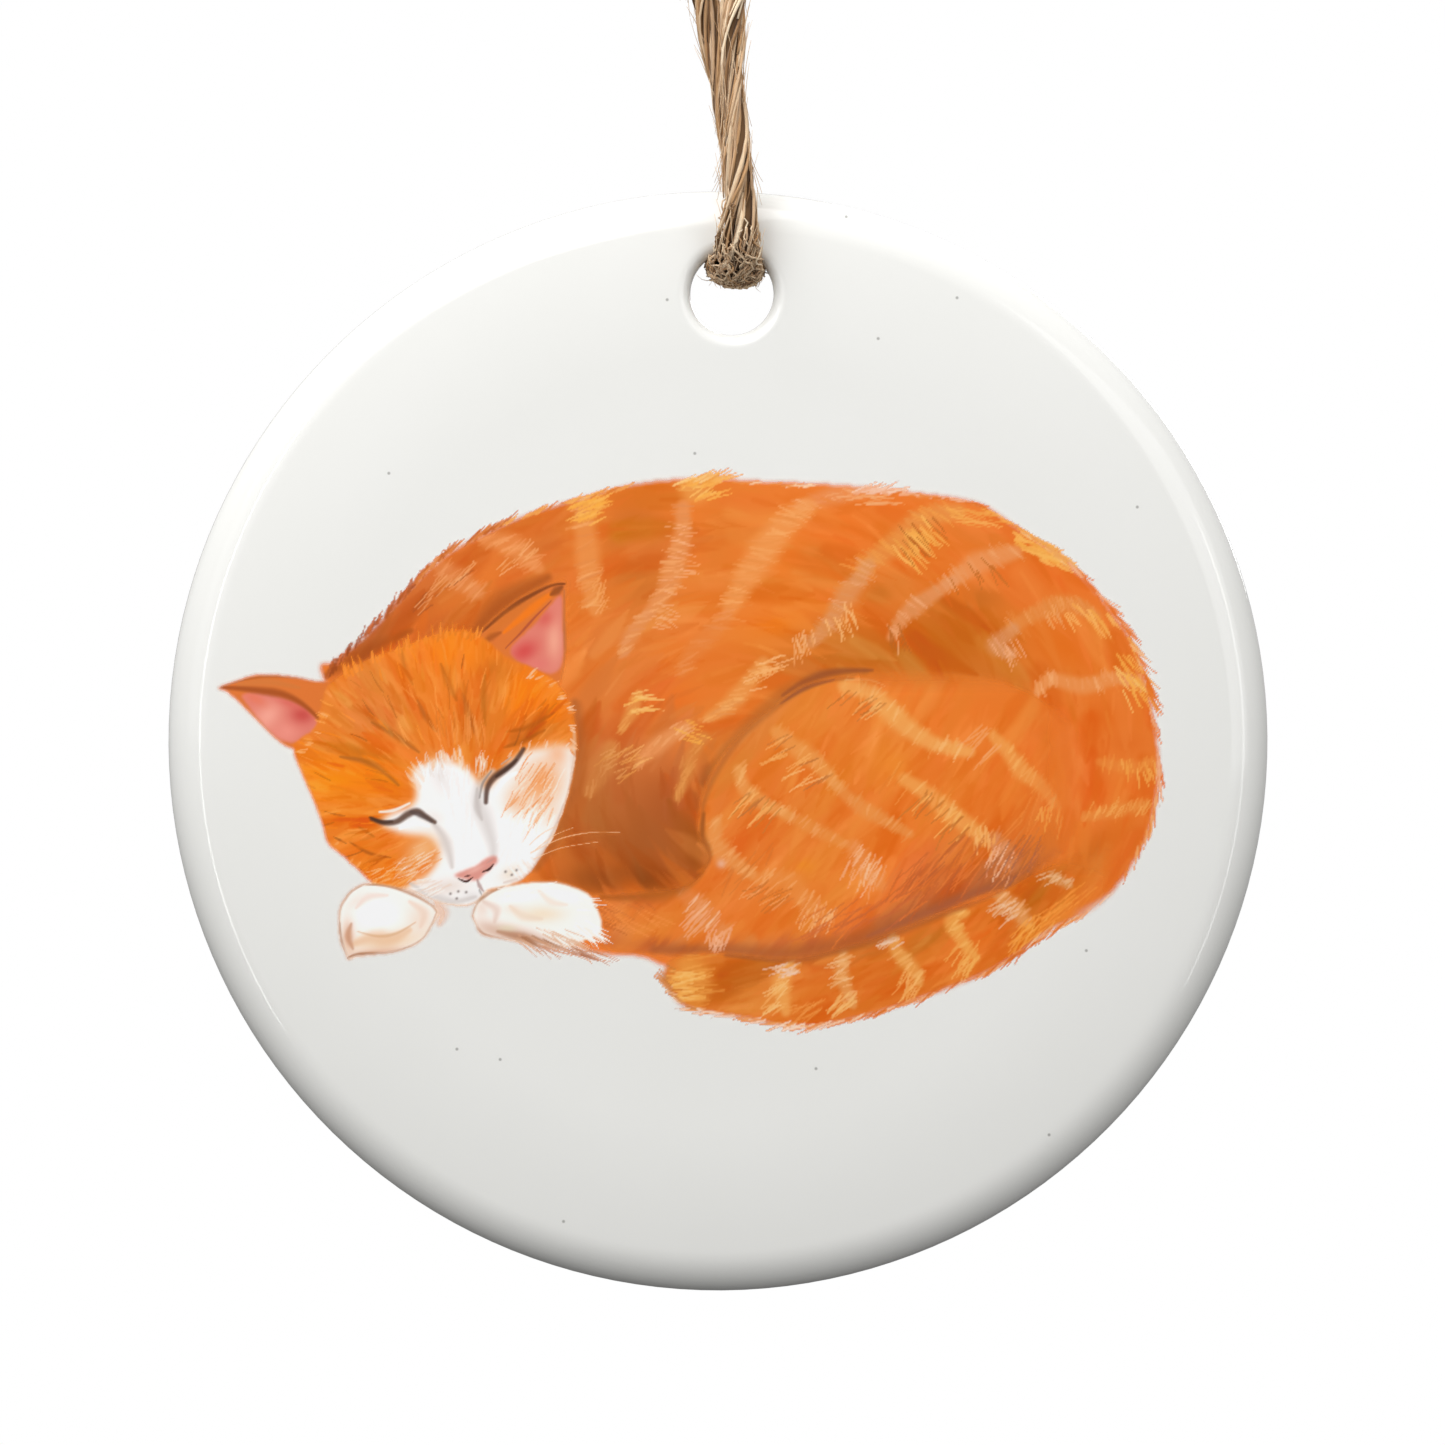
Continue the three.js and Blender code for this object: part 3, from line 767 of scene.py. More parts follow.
TAIL_STRIPES = [
    (((-1.9, -14.1), (-1.3, -15.2), (-1.5, -16.6)), 1.8, ("#eb9a46", "#f3b05a", "#f0a650"), 0.6),
    (((4.6, -14.3), (4, -15.4), (4.3, -17.2)), 1.05, ("#eea254", "#f4b670", "#f8c890"), 0.85),
    (((8, -13.5), (7.9, -15), (8.6, -16.8)), 0.85, ("#e69c58", "#f2b276", "#f6bf82"), 0.8),
    (((11.1, -12.4), (11.4, -13.4), (12.5, -14.6), (12.8, -15.4)), 0.85, ("#eba254", "#f3b46c"), 0.8),
    (((15.7, -10.9), (14.8, -11.4), (15.4, -12.5), (16.4, -13.8)), 0.85, ("#eea350", "#f5b868"), 0.8),
    (((17.9, -9.8), (18.8, -10.6), (19.7, -11.6)), 1.1, ("#e59c5c", "#f3b884"), 0.75),
    (((21.2, -8.6), (22.4, -9.2)), 0.6, ("#d9985c", "#f0c090"), 0.7),
]
TAIL_TUFTS = [
    ((-1.6, -15.5), (0.9, 1), 0, 190, 44, 1.6, ("#f4b25c", "#eda04a", "#f6bd6c"), 0.75, 0.15),
    ((-3, -15.2), (0.5, 0.7), 0, 150, 12, 1.2, ("#c0702e", "#d98540"), 0.7, 0.1),
    ((4.4, -14.4), (0.8, 0.35), 0, 200, 18, 0.9, ("#f0cdb8", "#eabfa2"), 0.7, 0.1),
    ((4, -16), (0.5, 1), 0, 215, 20, 1.2, ("#f6c27c", "#f2ae62"), 0.75, 0.11),
    ((11.2, -12.7), (0.6, 0.3), 0, 205, 14, 0.9, ("#f0cbae", "#eab890"), 0.75, 0.1),
    ((12.6, -15), (0.6, 0.8), 0, 240, 18, 1.4, ("#f5b76c", "#f0a456"), 0.75, 0.1),
    ((8.2, -16.4), (0.7, 0.5), 0, 222, 16, 1.4, ("#f4bc74", "#f0a85c"), 0.75, 0.1),
    ((8, -14.4), (0.4, 0.9), 0, 205, 12, 0.9, ("#f3c08c", "#eaac70"), 0.7, 0.1),
    ((16, -13.4), (0.7, 0.7), 0, 235, 20, 1.5, ("#f4b460", "#f0a450"), 0.75, 0.1),
    ((18.6, -10.4), (0.8, 0.5), -40, 215, 18, 1, ("#f0c6a4", "#e9b284"), 0.7, 0.1),
    ((20.2, -11.6), (1.4, 0.6), 20, 232, 34, 1.7, ("#f5b05c", "#f0983c", "#f3a850"), 0.65, 0.11),
    ((22.6, -10), (1.6, 0.5), 35, 220, 34, 1.8, ("#f39c44", "#ee8834", "#e0742c"), 0.6, 0.12),
    ((21.8, -8.6), (1, 0.3), -20, 200, 10, 1, ("#efc7a0", "#e5ad7c"), 0.7, 0.1),
    ((6, -16.8), (1, 0.4), 0, 212, 10, 1.6, ("#f0a050", "#e88a3c"), 0.5, 0.1),
]
TAIL_FRINGES = [
    (((25.8, -8.7), (24, -10.6), (21, -12.2)), (232, 222), 0.9, 3, ("#ee8a3c", "#e2762c", "#f3c094"), 0.13),
    (((21, -12.2), (19, -13.6), (16.5, -15), (12.5, -16.5)), (226, 212), 1.1, 3.5,
     ("#e27a34", "#efa878", "#d96e2a"), 0.12),
    (((12.5, -16.5), (9, -17.6), (5.2, -18.2)), (208, 200), 1.2, 3.5, ("#ea9156", "#f4c8a8", "#e0742c"),
     0.12),
    (((5.2, -18.2), (1.5, -17.6), (-1.8, -17)), (196, 178), 1.1, 4, ("#e78a48", "#f6d4bc", "#ea9a58"), 0.12),
    (((-1.8, -17), (-3.2, -15.8), (-3.5, -14.8)), (160, 136), 0.9, 5, ("#d88a50", "#c87838", "#eab488"),
     0.11),
]
HEAD = [
    (-27, -0.5), (-26.5, -2), (-25.8, -3.6), (-25.2, -5.2), (-24.8, -6.5), (-24, -7.2), (-23, -8.1),
    (-22, -9),
    (-20.9, -9.3), (-19.5, -9.5), (-18.5, -9.9), (-17.5, -10.3), (-16, -10.45), (-15.2, -10.1),
    (-14.6, -9.5),
    (-13.4, -9.2), (-12.3, -8.7), (-11.4, -7.6), (-10.5, -6), (-9.8, -4.3), (-9.3, -2.5), (-9, -0.5),
    (-9.05, 1),
    (-9.4, 2.4), (-10.2, 3.6), (-11.8, 4.6), (-13.4, 5.3), (-14.5, 6.2), (-15.6, 6.9), (-17, 7),
    (-18.5, 6.6),
    (-20, 6), (-22, 5.3), (-23.5, 4.5), (-24.8, 3.4), (-25.2, 2), (-25.6, 0.8), (-26.4, 0.2),
]
HEAD_TONES = [
    ((-17, 5.4), (3.4, 1.6), "#f8841f", 0.85, 0),
    ((-19.5, 4), (2.5, 2), "#ee8633", 0.7, 0),
    ((-22, 3.6), (1.8, 1.2), "#dd7c38", 0.8, 20),
    ((-22.3, 1.4), (2.2, 1.6), "#dd7e3c", 0.85, 0),
    ((-20, 1.4), (1.6, 2), "#d97c3c", 0.7, 30),
    ((-12.4, 2.8), (2.4, 1.6), "#fa7f14", 0.9, 0),
    ((-10.4, 1.4), (1, 1.2), "#f5801e", 0.8, 0),
    ((-12.2, 0.4), (2.8, 0.7), "#c9641f", 0.8, 14),
    ((-14.2, 4.4), (1.2, 1), "#c96c24", 0.75, 0),
    ((-14.6, 2.4), (0.9, 1.6), "#d87628", 0.7, 0),
    ((-24.2, -2.6), (2.4, 1.5), "#f98a1a", 0.9, 0),
    ((-21.3, -2.4), (2, 1.2), "#f78212", 0.9, 0),
    ((-22.6, -4.6), (1.4, 0.9), "#ee7c1c", 0.7, 0),
    ((-23.5, -0.4), (2.2, 0.6), "#e08e38", 0.75, 0),
    ((-22, -0.9), (2, 0.3), "#b8641f", 0.6, -15),
    ((-22.8, -6.5), (2, 1.2), "#e87620", 0.8, 0),
    ((-20.6, -6.6), (1.4, 0.8), "#ec7c28", 0.7, 0),
    ((-17.5, 1.5), (2.5, 2), "#ec7e2c", 0.6, 0),
    ((-15.4, 1.2), (1.3, 2.6), "#e0742a", 0.7, 0),
    ((-16, 0.4), (1.2, 1), "#d6752c", 0.6, 0),
    ((-20.5, -8.2), (2.4, 1), "#f07a1e", 0.85, -15),
    ((-24.9, 1.8), (0.8, 1), "#e88a3a", 0.7, 0),
]
BLAZE = [
    (-19.4, -2), (-18.5, -1.4), (-17.4, -1.2), (-16.3, -1.5), (-15.5, -2.2), (-14.8, -3), (-13.5, -1.6),
    (-12.3, -0.7),
    (-11, -0.4), (-9.6, -0.3), (-8.9, -0.8), (-8.6, -3), (-9.4, -5.5), (-10.6, -8), (-12.5, -9.6),
    (-14.5, -10.8),
    (-18, -11), (-20, -9.9), (-19.6, -9.1), (-18.4, -8.4), (-17.8, -7.2), (-18.4, -6.2), (-20.3, -5.8),
    (-21.4, -5.2), (-20.8, -4.6), (-19.4, -4), (-19.2, -3),
]
FACE_TONES = [
    ((-16.3, -5.4), (1.2, 2.8), "#fefdfd", 0.85, 6),
    ((-12.7, -6), (1.6, 1.7), "#fefdfe", 0.85, 20),
    ((-11.2, -2.7), (1.5, 1.9), "#f3a368", 0.95, -25),
    ((-12.7, -3.8), (0.9, 1), "#f4b688", 0.7, 0),
    ((-10.2, -0.8), (0.8, 0.9), "#f2ae80", 0.7, 0),
    ((-10.6, -4.6), (0.7, 1), "#f6d4bb", 0.6, -20),
    ((-18.8, -6.9), (1.3, 1), "#f2b37c", 0.95, 30),
    ((-17.4, -9.3), (1.7, 0.6), "#eadbd2", 0.85, 10),
    ((-19.4, -8.5), (0.8, 0.5), "#f1a66c", 0.7, -20),
    ((-18.2, -4.9), (0.9, 0.5), "#efe6e1", 0.7, 0),
    ((-17.6, -2.2), (0.7, 1.4), "#e6dfdc", 0.6, 20),
    ((-13.2, -8.4), (0.8, 0.5), "#eddcc9", 0.7, 30),
    ((-15.6, -9.9), (0.7, 0.4), "#e2dcda", 0.7, 0),
]
FACE_SHADES = [
    (((-14.3, -1.9), (-15.1, -2.8), (-15.2, -4), (-14.7, -5.3), (-14.3, -6.6), (-14.3, -7.6)), 0.9,
     "#d3cac6", 0.7, 1.2),
    (((-15.3, -3), (-15.3, -4.2), (-15, -5)), 0.4, "#bdb2ad", 0.6, 1.0),
    (((-18.1, -5.2), (-17.5, -6), (-17.1, -7), (-16.9, -8)), 0.6, "#cdc1bb", 0.7, 1.2),
    (((-19.6, -9), (-18.3, -9.8), (-16.8, -10.2), (-15.4, -9.9)), 0.5, "#cfc6c1", 0.7, 1.0),
    (((-13.6, -9), (-12.2, -8.5), (-11.4, -7.4), (-10.5, -5.8), (-9.8, -4)), 0.35, "#d6c0b2", 0.6, 0.9),
    (((-9.3, -2.6), (-9.1, -1), (-9.1, 0.6)), 0.5, "#e3c4ac", 0.6, 0.9),
]
MARKINGS = [
    (((-22, 1.2), (-20.4, 0.3), (-19, -0.7)), 0.34, "#a9602a", 0.65, 0.9),
    (((-24, -1), (-22.6, -1.25), (-21.4, -1.8), (-20.3, -2.8)), 0.4, "#a55f28", 0.65, 0.9),
    (((-20.1, 5.8), (-19.9, 4.8), (-19.4, 3.6)), 0.3, "#c26a26", 0.55, 0.9),
    (((-17.6, 4.9), (-17.2, 3.8), (-16.6, 2.6)), 0.4, "#b8621f", 0.6, 0.9),
    (((-19.1, 2.6), (-18.6, 1.6), (-17.9, 0.6)), 0.36, "#b0602a", 0.6, 0.9),
    (((-16.2, 3), (-15.9, 1.8), (-15.4, 0.4)), 0.4, "#b0622a", 0.6, 0.9),
    (((-14.8, 4.2), (-14.9, 2.8), (-14.8, 1)), 0.4, "#b8671f", 0.6, 0.9),
    (((-13.4, 0.6), (-12, 0.9), (-10.4, 1.8)), 0.34, "#b0571a", 0.6, 0.9),
    (((-13.6, -0.4), (-12.4, 0), (-11, 0.7)), 0.34, "#a8551c", 0.6, 0.9),
    (((-23.4, -6.4), (-22.2, -7.1), (-20.8, -7.4)), 0.22, "#a8561f", 0.7, 0.8),
    (((-22.9, -5.4), (-21.8, -6.1)), 0.2, "#b0601f", 0.6, 0.8),
    (((-24.4, -6.1), (-23.6, -6.5)), 0.14, "#8c4a20", 0.7, 0.6),
]
FEATURES = [
    (((-22, -4.95), (-21.2, -5.2), (-20.4, -5.1), (-19.7, -4.65), (-19.1, -4.45), (-18.6, -4.75),
     (-18, -5.15)), 0.42, "#5c4236", 0.86, 0.65),
    (((-22.1, -4.85), (-21.4, -5.12), (-20.7, -5.1)), 0.26, "#46322a", 0.7, 0.6),
    (((-19.5, -4.5), (-18.9, -4.7), (-18.2, -5.1)), 0.34, "#5d4d48", 0.8, 0.6),
    (((-14.75, -3.9), (-14.65, -3), (-14.25, -2.35), (-13.5, -1.8), (-12.9, -1.3), (-12.35, -0.5)), 0.42,
     "#584038", 0.86, 0.65),
    (((-14.1, -2.25), (-13.4, -1.75), (-12.8, -1.2)), 0.26, "#46322a", 0.7, 0.6),
    (((-15.15, -3.6), (-14.95, -2.7), (-14.4, -1.9)), 0.16, "#8f8580", 0.7, 0.7),
    (((-13.8, -1.5), (-13.1, -1)), 0.12, "#b9aca6", 0.7, 0.6),
    (((-21.5, -4.5), (-20.6, -4.4), (-19.6, -3.95)), 0.2, "#fbf3ee", 0.85, 0.6),
    (((-20.2, -5.55), (-19.3, -5.2), (-18.4, -5.4)), 0.3, "#ffffff", 0.9, 0.7),
    (((-14.2, -3.4), (-13.6, -2.5), (-12.8, -2)), 0.3, "#fffdfc", 0.9, 0.7),
]
NOSE = [
    (-16.75, -8.55), (-16.1, -8.2), (-15.4, -7.95), (-14.8, -7.5), (-14.2, -7.3), (-14, -7.6), (-14.4, -8.1),
    (-14.9, -8.5), (-15.3, -8.85), (-16, -8.8),
]
NOSE_LINES = [
    (((-16.5, -8.75), (-16, -8.92), (-15.6, -8.68)), 0.17, "#4a2f2c", 0.95, 0.4),
    (((-16.1, -8.6), (-15.75, -8.55)), 0.12, "#5e3a36", 0.8, 0.4),
    (((-14.95, -8.3), (-14.55, -8.15), (-14.25, -7.8)), 0.17, "#4a2f2c", 0.95, 0.4),
    (((-14.7, -7.75), (-14.2, -7.45)), 0.12, "#c9968c", 0.7, 0.6),
    (((-15.3, -8.8), (-15.15, -9.2), (-14.9, -9.55)), 0.24, "#a5837e", 0.7, 0.7),
    (((-15.2, -9.4), (-15, -9.8)), 0.12, "#7d7674", 0.6, 0.7),
]
WHISKER_ROOTS = [
    (-17, -9.7), (-16.5, -9.55), (-16, -9.6), (-16.6, -10), (-13.5, -8.3), (-13.1, -8.5), (-12.8, -8.2),
]
WHISKERS = [
    (((-11.9, -7.1), (-10, -6.2), (-8, -5.8), (-6.2, -5.8)), 0.1),
    (((-11.7, -7.5), (-10, -6.8), (-7.6, -6.4)), 0.08),
    (((-11.6, -6.9), (-10.4, -6), (-9.2, -5.5)), 0.08),
    (((-12, -6.6), (-11.2, -5.9), (-10.3, -5.4)), 0.07),
]
LEFT_EAR = [
    (-31.8, 3.4), (-30.5, 3.9), (-29.2, 4.25), (-27.2, 4.15), (-25.6, 3.85), (-24.3, 3.7), (-23.6, 2.8),
    (-24, 1.6), (-24.8, 0.4), (-25.8, -0.2), (-27, -0.5), (-28, 0.05), (-29.2, 1.2), (-30.3, 2.3),
    (-31.2, 3.1),
]
LEFT_EAR_PINK = [
    (-30.2, 2.95), (-29, 3.02), (-27.5, 2.7), (-26.3, 2.1), (-25.4, 1.1), (-25.7, 0.3), (-26.8, -0.1),
    (-28, 0.2), (-29.1, 1.3), (-29.9, 2.3),
]
RIGHT_EAR = [
    (-15, 7), (-13.8, 8.2), (-12.6, 9.1), (-11.4, 9.7), (-10.3, 10.1), (-9.6, 10.05), (-9.7, 8.5),
    (-9.6, 6.8),
    (-9.7, 5.2), (-10.2, 3.6), (-11.8, 4), (-13.6, 4.8), (-14.8, 6),
]
RIGHT_EAR_PINK = [
    (-9.95, 9.2), (-9.85, 7), (-9.9, 5), (-10.5, 4.3), (-11.4, 4.5), (-12.7, 5.1), (-13.2, 5.8),
    (-12.3, 6.8),
    (-11.3, 7.8), (-10.5, 8.8),
]
EAR_TONES = [
    ((-28.6, 1.6), (0.9, 1.2), "#f2a592", 0.9, -40),
    ((-27.4, 0.6), (0.9, 0.8), "#ee9484", 0.8, 0),
    ((-26.4, 1.7), (0.9, 0.7), "#c9504a", 0.95, 0),
    ((-29.4, 2.7), (0.9, 0.4), "#e5785c", 0.8, -30),
    ((-27.2, 2.4), (1.2, 0.35), "#d9695c", 0.8, -20),
    ((-12.3, 5.7), (1.1, 0.7), "#d5524e", 0.95, 30),
    ((-10.4, 6.4), (0.6, 1.6), "#f0a58c", 0.9, 0),
    ((-11, 7.8), (0.7, 0.6), "#d96458", 0.85, 40),
    ((-11.4, 4.9), (0.8, 0.4), "#e27a70", 0.8, 10),
]
EAR_LINES = [
    (((-31.6, 3.4), (-30.4, 3.35), (-29, 3.2), (-27.6, 2.95), (-26.4, 2.35), (-25.2, 1.3)), 0.5, "#a04d26",
     0.8, 0.8),
    (((-31.7, 3.4), (-30.3, 3.85), (-28.5, 4.12), (-26.5, 4), (-25, 3.75)), 0.2, "#b5602c", 0.75, 0.7),
    (((-30.5, 3.6), (-28.6, 3.75), (-26.6, 3.4)), 0.5, "#cf7a40", 0.6, 0.9),
    (((-24.4, 3.4), (-24.6, 2.4), (-24.9, 1.2)), 0.8, "#a9602e", 0.75, 0.9),
    (((-31.4, 3), (-30, 1.7), (-28.6, 0.3), (-27.2, -0.4)), 0.28, "#ec8440", 0.85, 0.7),
    (((-15.6, 6.4), (-14.6, 7.3), (-13.4, 8.3), (-12, 9.2), (-10.6, 9.9), (-9.7, 10)), 0.34, "#7c4022",
     0.85, 0.6),
    (((-15, 6.3), (-13.9, 7.4), (-12.6, 8.4), (-11, 9.3)), 0.7, "#d5742f", 0.6, 0.9),
    (((-13.6, 6.9), (-12.4, 7.9), (-11.2, 8.9), (-10.2, 9.6)), 0.55, "#f27c22", 0.85, 0.7),
    (((-10.6, 9.3), (-9.9, 9.8)), 0.5, "#8d4a28", 0.8, 0.7),
    (((-13.5, 5.9), (-12.6, 6.8), (-11.6, 7.9), (-10.6, 8.9)), 0.16, "#a6483a", 0.7, 0.6),
    (((-9.75, 9.6), (-9.75, 7.5), (-9.7, 5.5), (-9.9, 4)), 0.22, "#b06a42", 0.7, 0.6),
    (((-13.6, 5.1), (-12.4, 4.5), (-11, 4), (-10.2, 3.6)), 0.5, "#f08024", 0.85, 0.8),
    (((-15.2, 6), (-14.4, 6.6), (-13.8, 6.9)), 0.4, "#9c4c22", 0.6, 0.9),
]
LEFT_PAW = [
    (-24.1, -11.5), (-24, -10.5), (-23.4, -9.6), (-22.6, -9.1), (-21.6, -9.1), (-20.5, -9.3), (-19.3, -9.7),
    (-18.3, -10.3), (-17.8, -10.9), (-18.1, -11.6), (-18.6, -12.4), (-19.2, -12.9), (-20.5, -13.4),
    (-22, -13.6),
    (-23, -13.7), (-23.5, -13.9), (-23.7, -13.4), (-24, -12.7),
]
RIGHT_PAW = [
    (-15.6, -11), (-15.2, -10.1), (-14.4, -9.5), (-13.2, -9.15), (-12, -8.95), (-10.5, -8.9), (-9.3, -9.2),
    (-8.2, -9.7), (-7.8, -10.4), (-7.4, -11.3), (-7.5, -12.2), (-8.5, -12.7), (-9.8, -13.1), (-12, -12.9),
    (-13.5, -12.6), (-15, -12.3), (-15.4, -11.6),
]
PAW_TONES = [
    ((-21, -12.7), (2.7, 0.7), "#f0cfae", 0.9, 8),
    ((-21.4, -13.4), (2.4, 0.35), "#e3b193", 0.8, 4),
    ((-18.9, -11.4), (1.1, 1.2), "#f2d8c4", 0.7, 40),
    ((-23.5, -12.4), (0.45, 1.2), "#dda988", 0.8, 0),
    ((-23, -10.2), (0.8, 0.4), "#f2ddd0", 0.6, 40),
    ((-21.6, -11), (1.7, 1.1), "#fefcfb", 0.9, 0),
    ((-14.6, -11.9), (1.2, 0.6), "#e9cfc0", 0.8, -20),
    ((-15, -10.6), (0.5, 0.7), "#ecd6c8", 0.7, 0),
    ((-12.6, -12.4), (2.4, 0.55), "#c8957a", 0.85, -14),
    ((-11.2, -11), (1.6, 0.6), "#f3dfc4", 0.85, 0),
    ((-13, -10.6), (0.7, 0.4), "#f2dccb", 0.5, 0),
    ((-12.6, -9.9), (1.7, 0.5), "#fefaf9", 0.85, 10),
    ((-9.6, -9.9), (1.4, 0.5), "#fdf9f8", 0.85, -10),
    ((-8.6, -11.4), (0.9, 0.9), "#fdf6f1", 0.8, 0),
    ((-13.4, -11.9), (0.7, 0.3), "#e3dcb8", 0.5, 0),
]
PAW_LINES = [
    (((-24.1, -11.6), (-24, -10.5), (-23.4, -9.6), (-22.5, -9.1)), 0.26, "#ad7759", 0.8, 0.7),
    (((-22.5, -9.1), (-21, -9.2), (-19.4, -9.7), (-18.2, -10.4), (-17.85, -10.9)), 0.24, "#a8653c", 0.85,
     0.7),
    (((-17.9, -10.9), (-18.2, -11.7), (-18.8, -12.6), (-20, -13.2)), 0.18, "#c08e70", 0.75, 0.7),
    (((-24.05, -11.5), (-24, -12.7), (-23.6, -13.8)), 0.28, "#9c6444", 0.85, 0.7),
    (((-23.6, -13.8), (-22.8, -13.55), (-21, -13.5), (-19.6, -13.1)), 0.26, "#a9714f", 0.85, 0.7),
    (((-23.2, -12.9), (-22, -12.5), (-20.8, -12.6), (-19.6, -12)), 0.9, "#ecc19c", 0.75, 0.9),
    (((-22.9, -12.1), (-21.6, -12.4), (-20.4, -12.2), (-19.2, -11.5)), 0.2, "#d9a67c", 0.6, 0.9),
    (((-23.3, -11.6), (-23.5, -12.4), (-23.2, -13.2)), 0.4, "#c99072", 0.7, 0.9),
    (((-19.6, -10.2), (-18.7, -10.9), (-18.9, -11.8)), 0.5, "#eccdb8", 0.6, 1.0),
    (((-23, -10.6), (-22.2, -9.9), (-21, -9.8)), 0.4, "#ecd3c6", 0.6, 1.0),
    (((-14.9, -10.2), (-14.1, -10.7), (-14.2, -11.5)), 0.5, "#e0c2b2", 0.6, 1.0),
    (((-13.2, -10.5), (-12.4, -11.1), (-11.2, -11.3)), 0.5, "#ead2ba", 0.6, 1.0),
    (((-11.4, -9.5), (-10.6, -10.2), (-9.6, -10.4)), 0.4, "#efdccb", 0.6, 1.0),
    (((-14, -12.1), (-12.4, -12.5), (-10.9, -12.8)), 0.5, "#b07a5c", 0.6, 1.0),
    (((-15.6, -11), (-15.3, -10.2), (-14.5, -9.6), (-13.6, -9.25)), 0.28, "#a56e49", 0.85, 0.8),
    (((-15.6, -11), (-15.5, -11.7), (-14.9, -12.3), (-13.6, -12.6)), 0.28, "#a9633a", 0.85, 0.8),
    (((-13.4, -9.2), (-12, -8.95), (-10.4, -8.95), (-9.2, -9.25)), 0.14, "#c98a5c", 0.6, 0.8),
]
PAW_TUFTS = [
    ((-8.6, -11.9), (0.6, 0.5), 20, -34, 22, 1.6, ("#ffffff", "#fbeee4", "#fdf8f5"), 0.9, 0.13),
    ((-8.6, -10.4), (0.5, 0.5), 0, -12, 12, 1.1, ("#ffffff", "#fdf4ee"), 0.85, 0.13),
    ((-10.4, -12.2), (1.4, 0.4), -14, -32, 22, 1.9, ("#fdf6f0", "#f6e2d2", "#e0b494"), 0.8, 0.1),
    ((-12.2, -12.5), (1.4, 0.25), -14, -30, 18, 1.8, ("#b98060", "#d9a684", "#a8704e"), 0.6, 0.11),
    ((-12.4, -9.5), (1.6, 0.3), 6, 10, 14, 1, ("#fffdfd", "#fbf2ec"), 0.7, 0.12),
    ((-9.6, -13.3), (1.9, 0.25), -6, -20, 22, 1.7, ("#b4704c", "#9c5f44", "#d59a78"), 0.6, 0.11),
]
FACE_TUFTS = [
    ((-17.4, -1.4), (1.2, 0.5), 5, 98, 22, 0.7, ("#f2dccb", "#f6e8de", "#efb98c"), 0.16),
    ((-19, -2.5), (0.4, 0.8), -25, 128, 16, 0.7, ("#f3d9c4", "#f9f3ef"), 0.16),
    ((-18, -1.9), (0.8, 0.7), 0, 105, 18, 1.0, ("#e9dfd9", "#faf7f6"), 0.1),
    ((-15, -1.9), (0.5, 0.5), -30, 84, 18, 0.9, ("#f6eee9", "#efc9a8"), 0.1),
    ((-12.6, -0.7), (1.2, 0.2), 22, 66, 8, 0.5, ("#f3d9c4", "#f2b98c"), 0.1),
    ((-10.4, -0.3), (0.9, 0.2), 5, 60, 6, 0.5, ("#f5dcc8", "#f0b888"), 0.1),
    ((-11.4, -2.6), (1.4, 1.6), -25, 238, 70, 1.4, ("#f7dcc6", "#ee9556", "#fbeee4", "#e98a48"), 0.1),
    ((-11.6, -4.6), (1.2, 0.7), 20, 240, 36, 1.3, ("#ffffff", "#fbefe6", "#f3ac74"), 0.1),
    ((-16.4, 0), (1.6, 0.5), 0, 95, 26, 1.6, ("#e9843a", "#d9762e", "#f29a50"), 0.11),
    ((-18.8, -7.4), (1.2, 0.8), 30, 212, 44, 1.3, ("#f8e2cf", "#f2b988", "#ee9a55"), 0.1),
    ((-20.4, -8.4), (1.2, 0.5), -20, 205, 30, 1.2, ("#f5a04e", "#fbc690", "#ec7f2c"), 0.1),
    ((-17.8, -9.2), (1.1, 0.4), -10, 200, 26, 1, ("#fbf4ef", "#e9d2c2"), 0.1),
    ((-12.4, -8), (0.9, 0.5), 35, -50, 20, 1, ("#ffffff", "#ecdccf"), 0.1),
    ((-16.4, -4.6), (0.8, 2), 5, 92, 36, 1.3, ("#ffffff", "#f0ebe9"), 0.1),
    ((-12.9, -5.8), (1.2, 1.2), 30, 250, 30, 1.3, ("#ffffff", "#f3eeec"), 0.1),
]
CHEEK_FRINGES = [
    (((-11.8, 4.4), (-10.4, 3.6), (-9.4, 2.4)), (40, 12), 0.35, 5, ("#f3c49c", "#f6b27c", "#f29a4c"), 0.1),
    (((-9.4, 2.4), (-9, 0.6), (-9.1, -1)), (20, -60), 0.3, 4, ("#f3cfb0", "#f3b98a", "#e88a44"), 0.1),
    (((-9.1, -1), (-9.8, -4.2), (-10.8, -6.6)), (-95, -120), 0.6, 3, ("#f3dccb", "#e9cbb5"), 0.1),
    (((-25, -6.2), (-23.2, -8), (-21.4, -9.2)), (222, 238), 0.3, 1.2, ("#f28a2e", "#e8781c", "#f6a458"),
     0.11),
    (((-24.8, 2.6), (-25.8, 0.4), (-26.8, -0.8)), (150, 190), 0.4, 4, ("#f39a45", "#f4ac68"), 0.1),
    (((-23.8, 4.4), (-21, 5.8), (-17.6, 6.9), (-15, 6.8)), (110, 70), 0.6, 6,
     ("#f08a30", "#e27a28", "#f4903a"), 0.12),
]
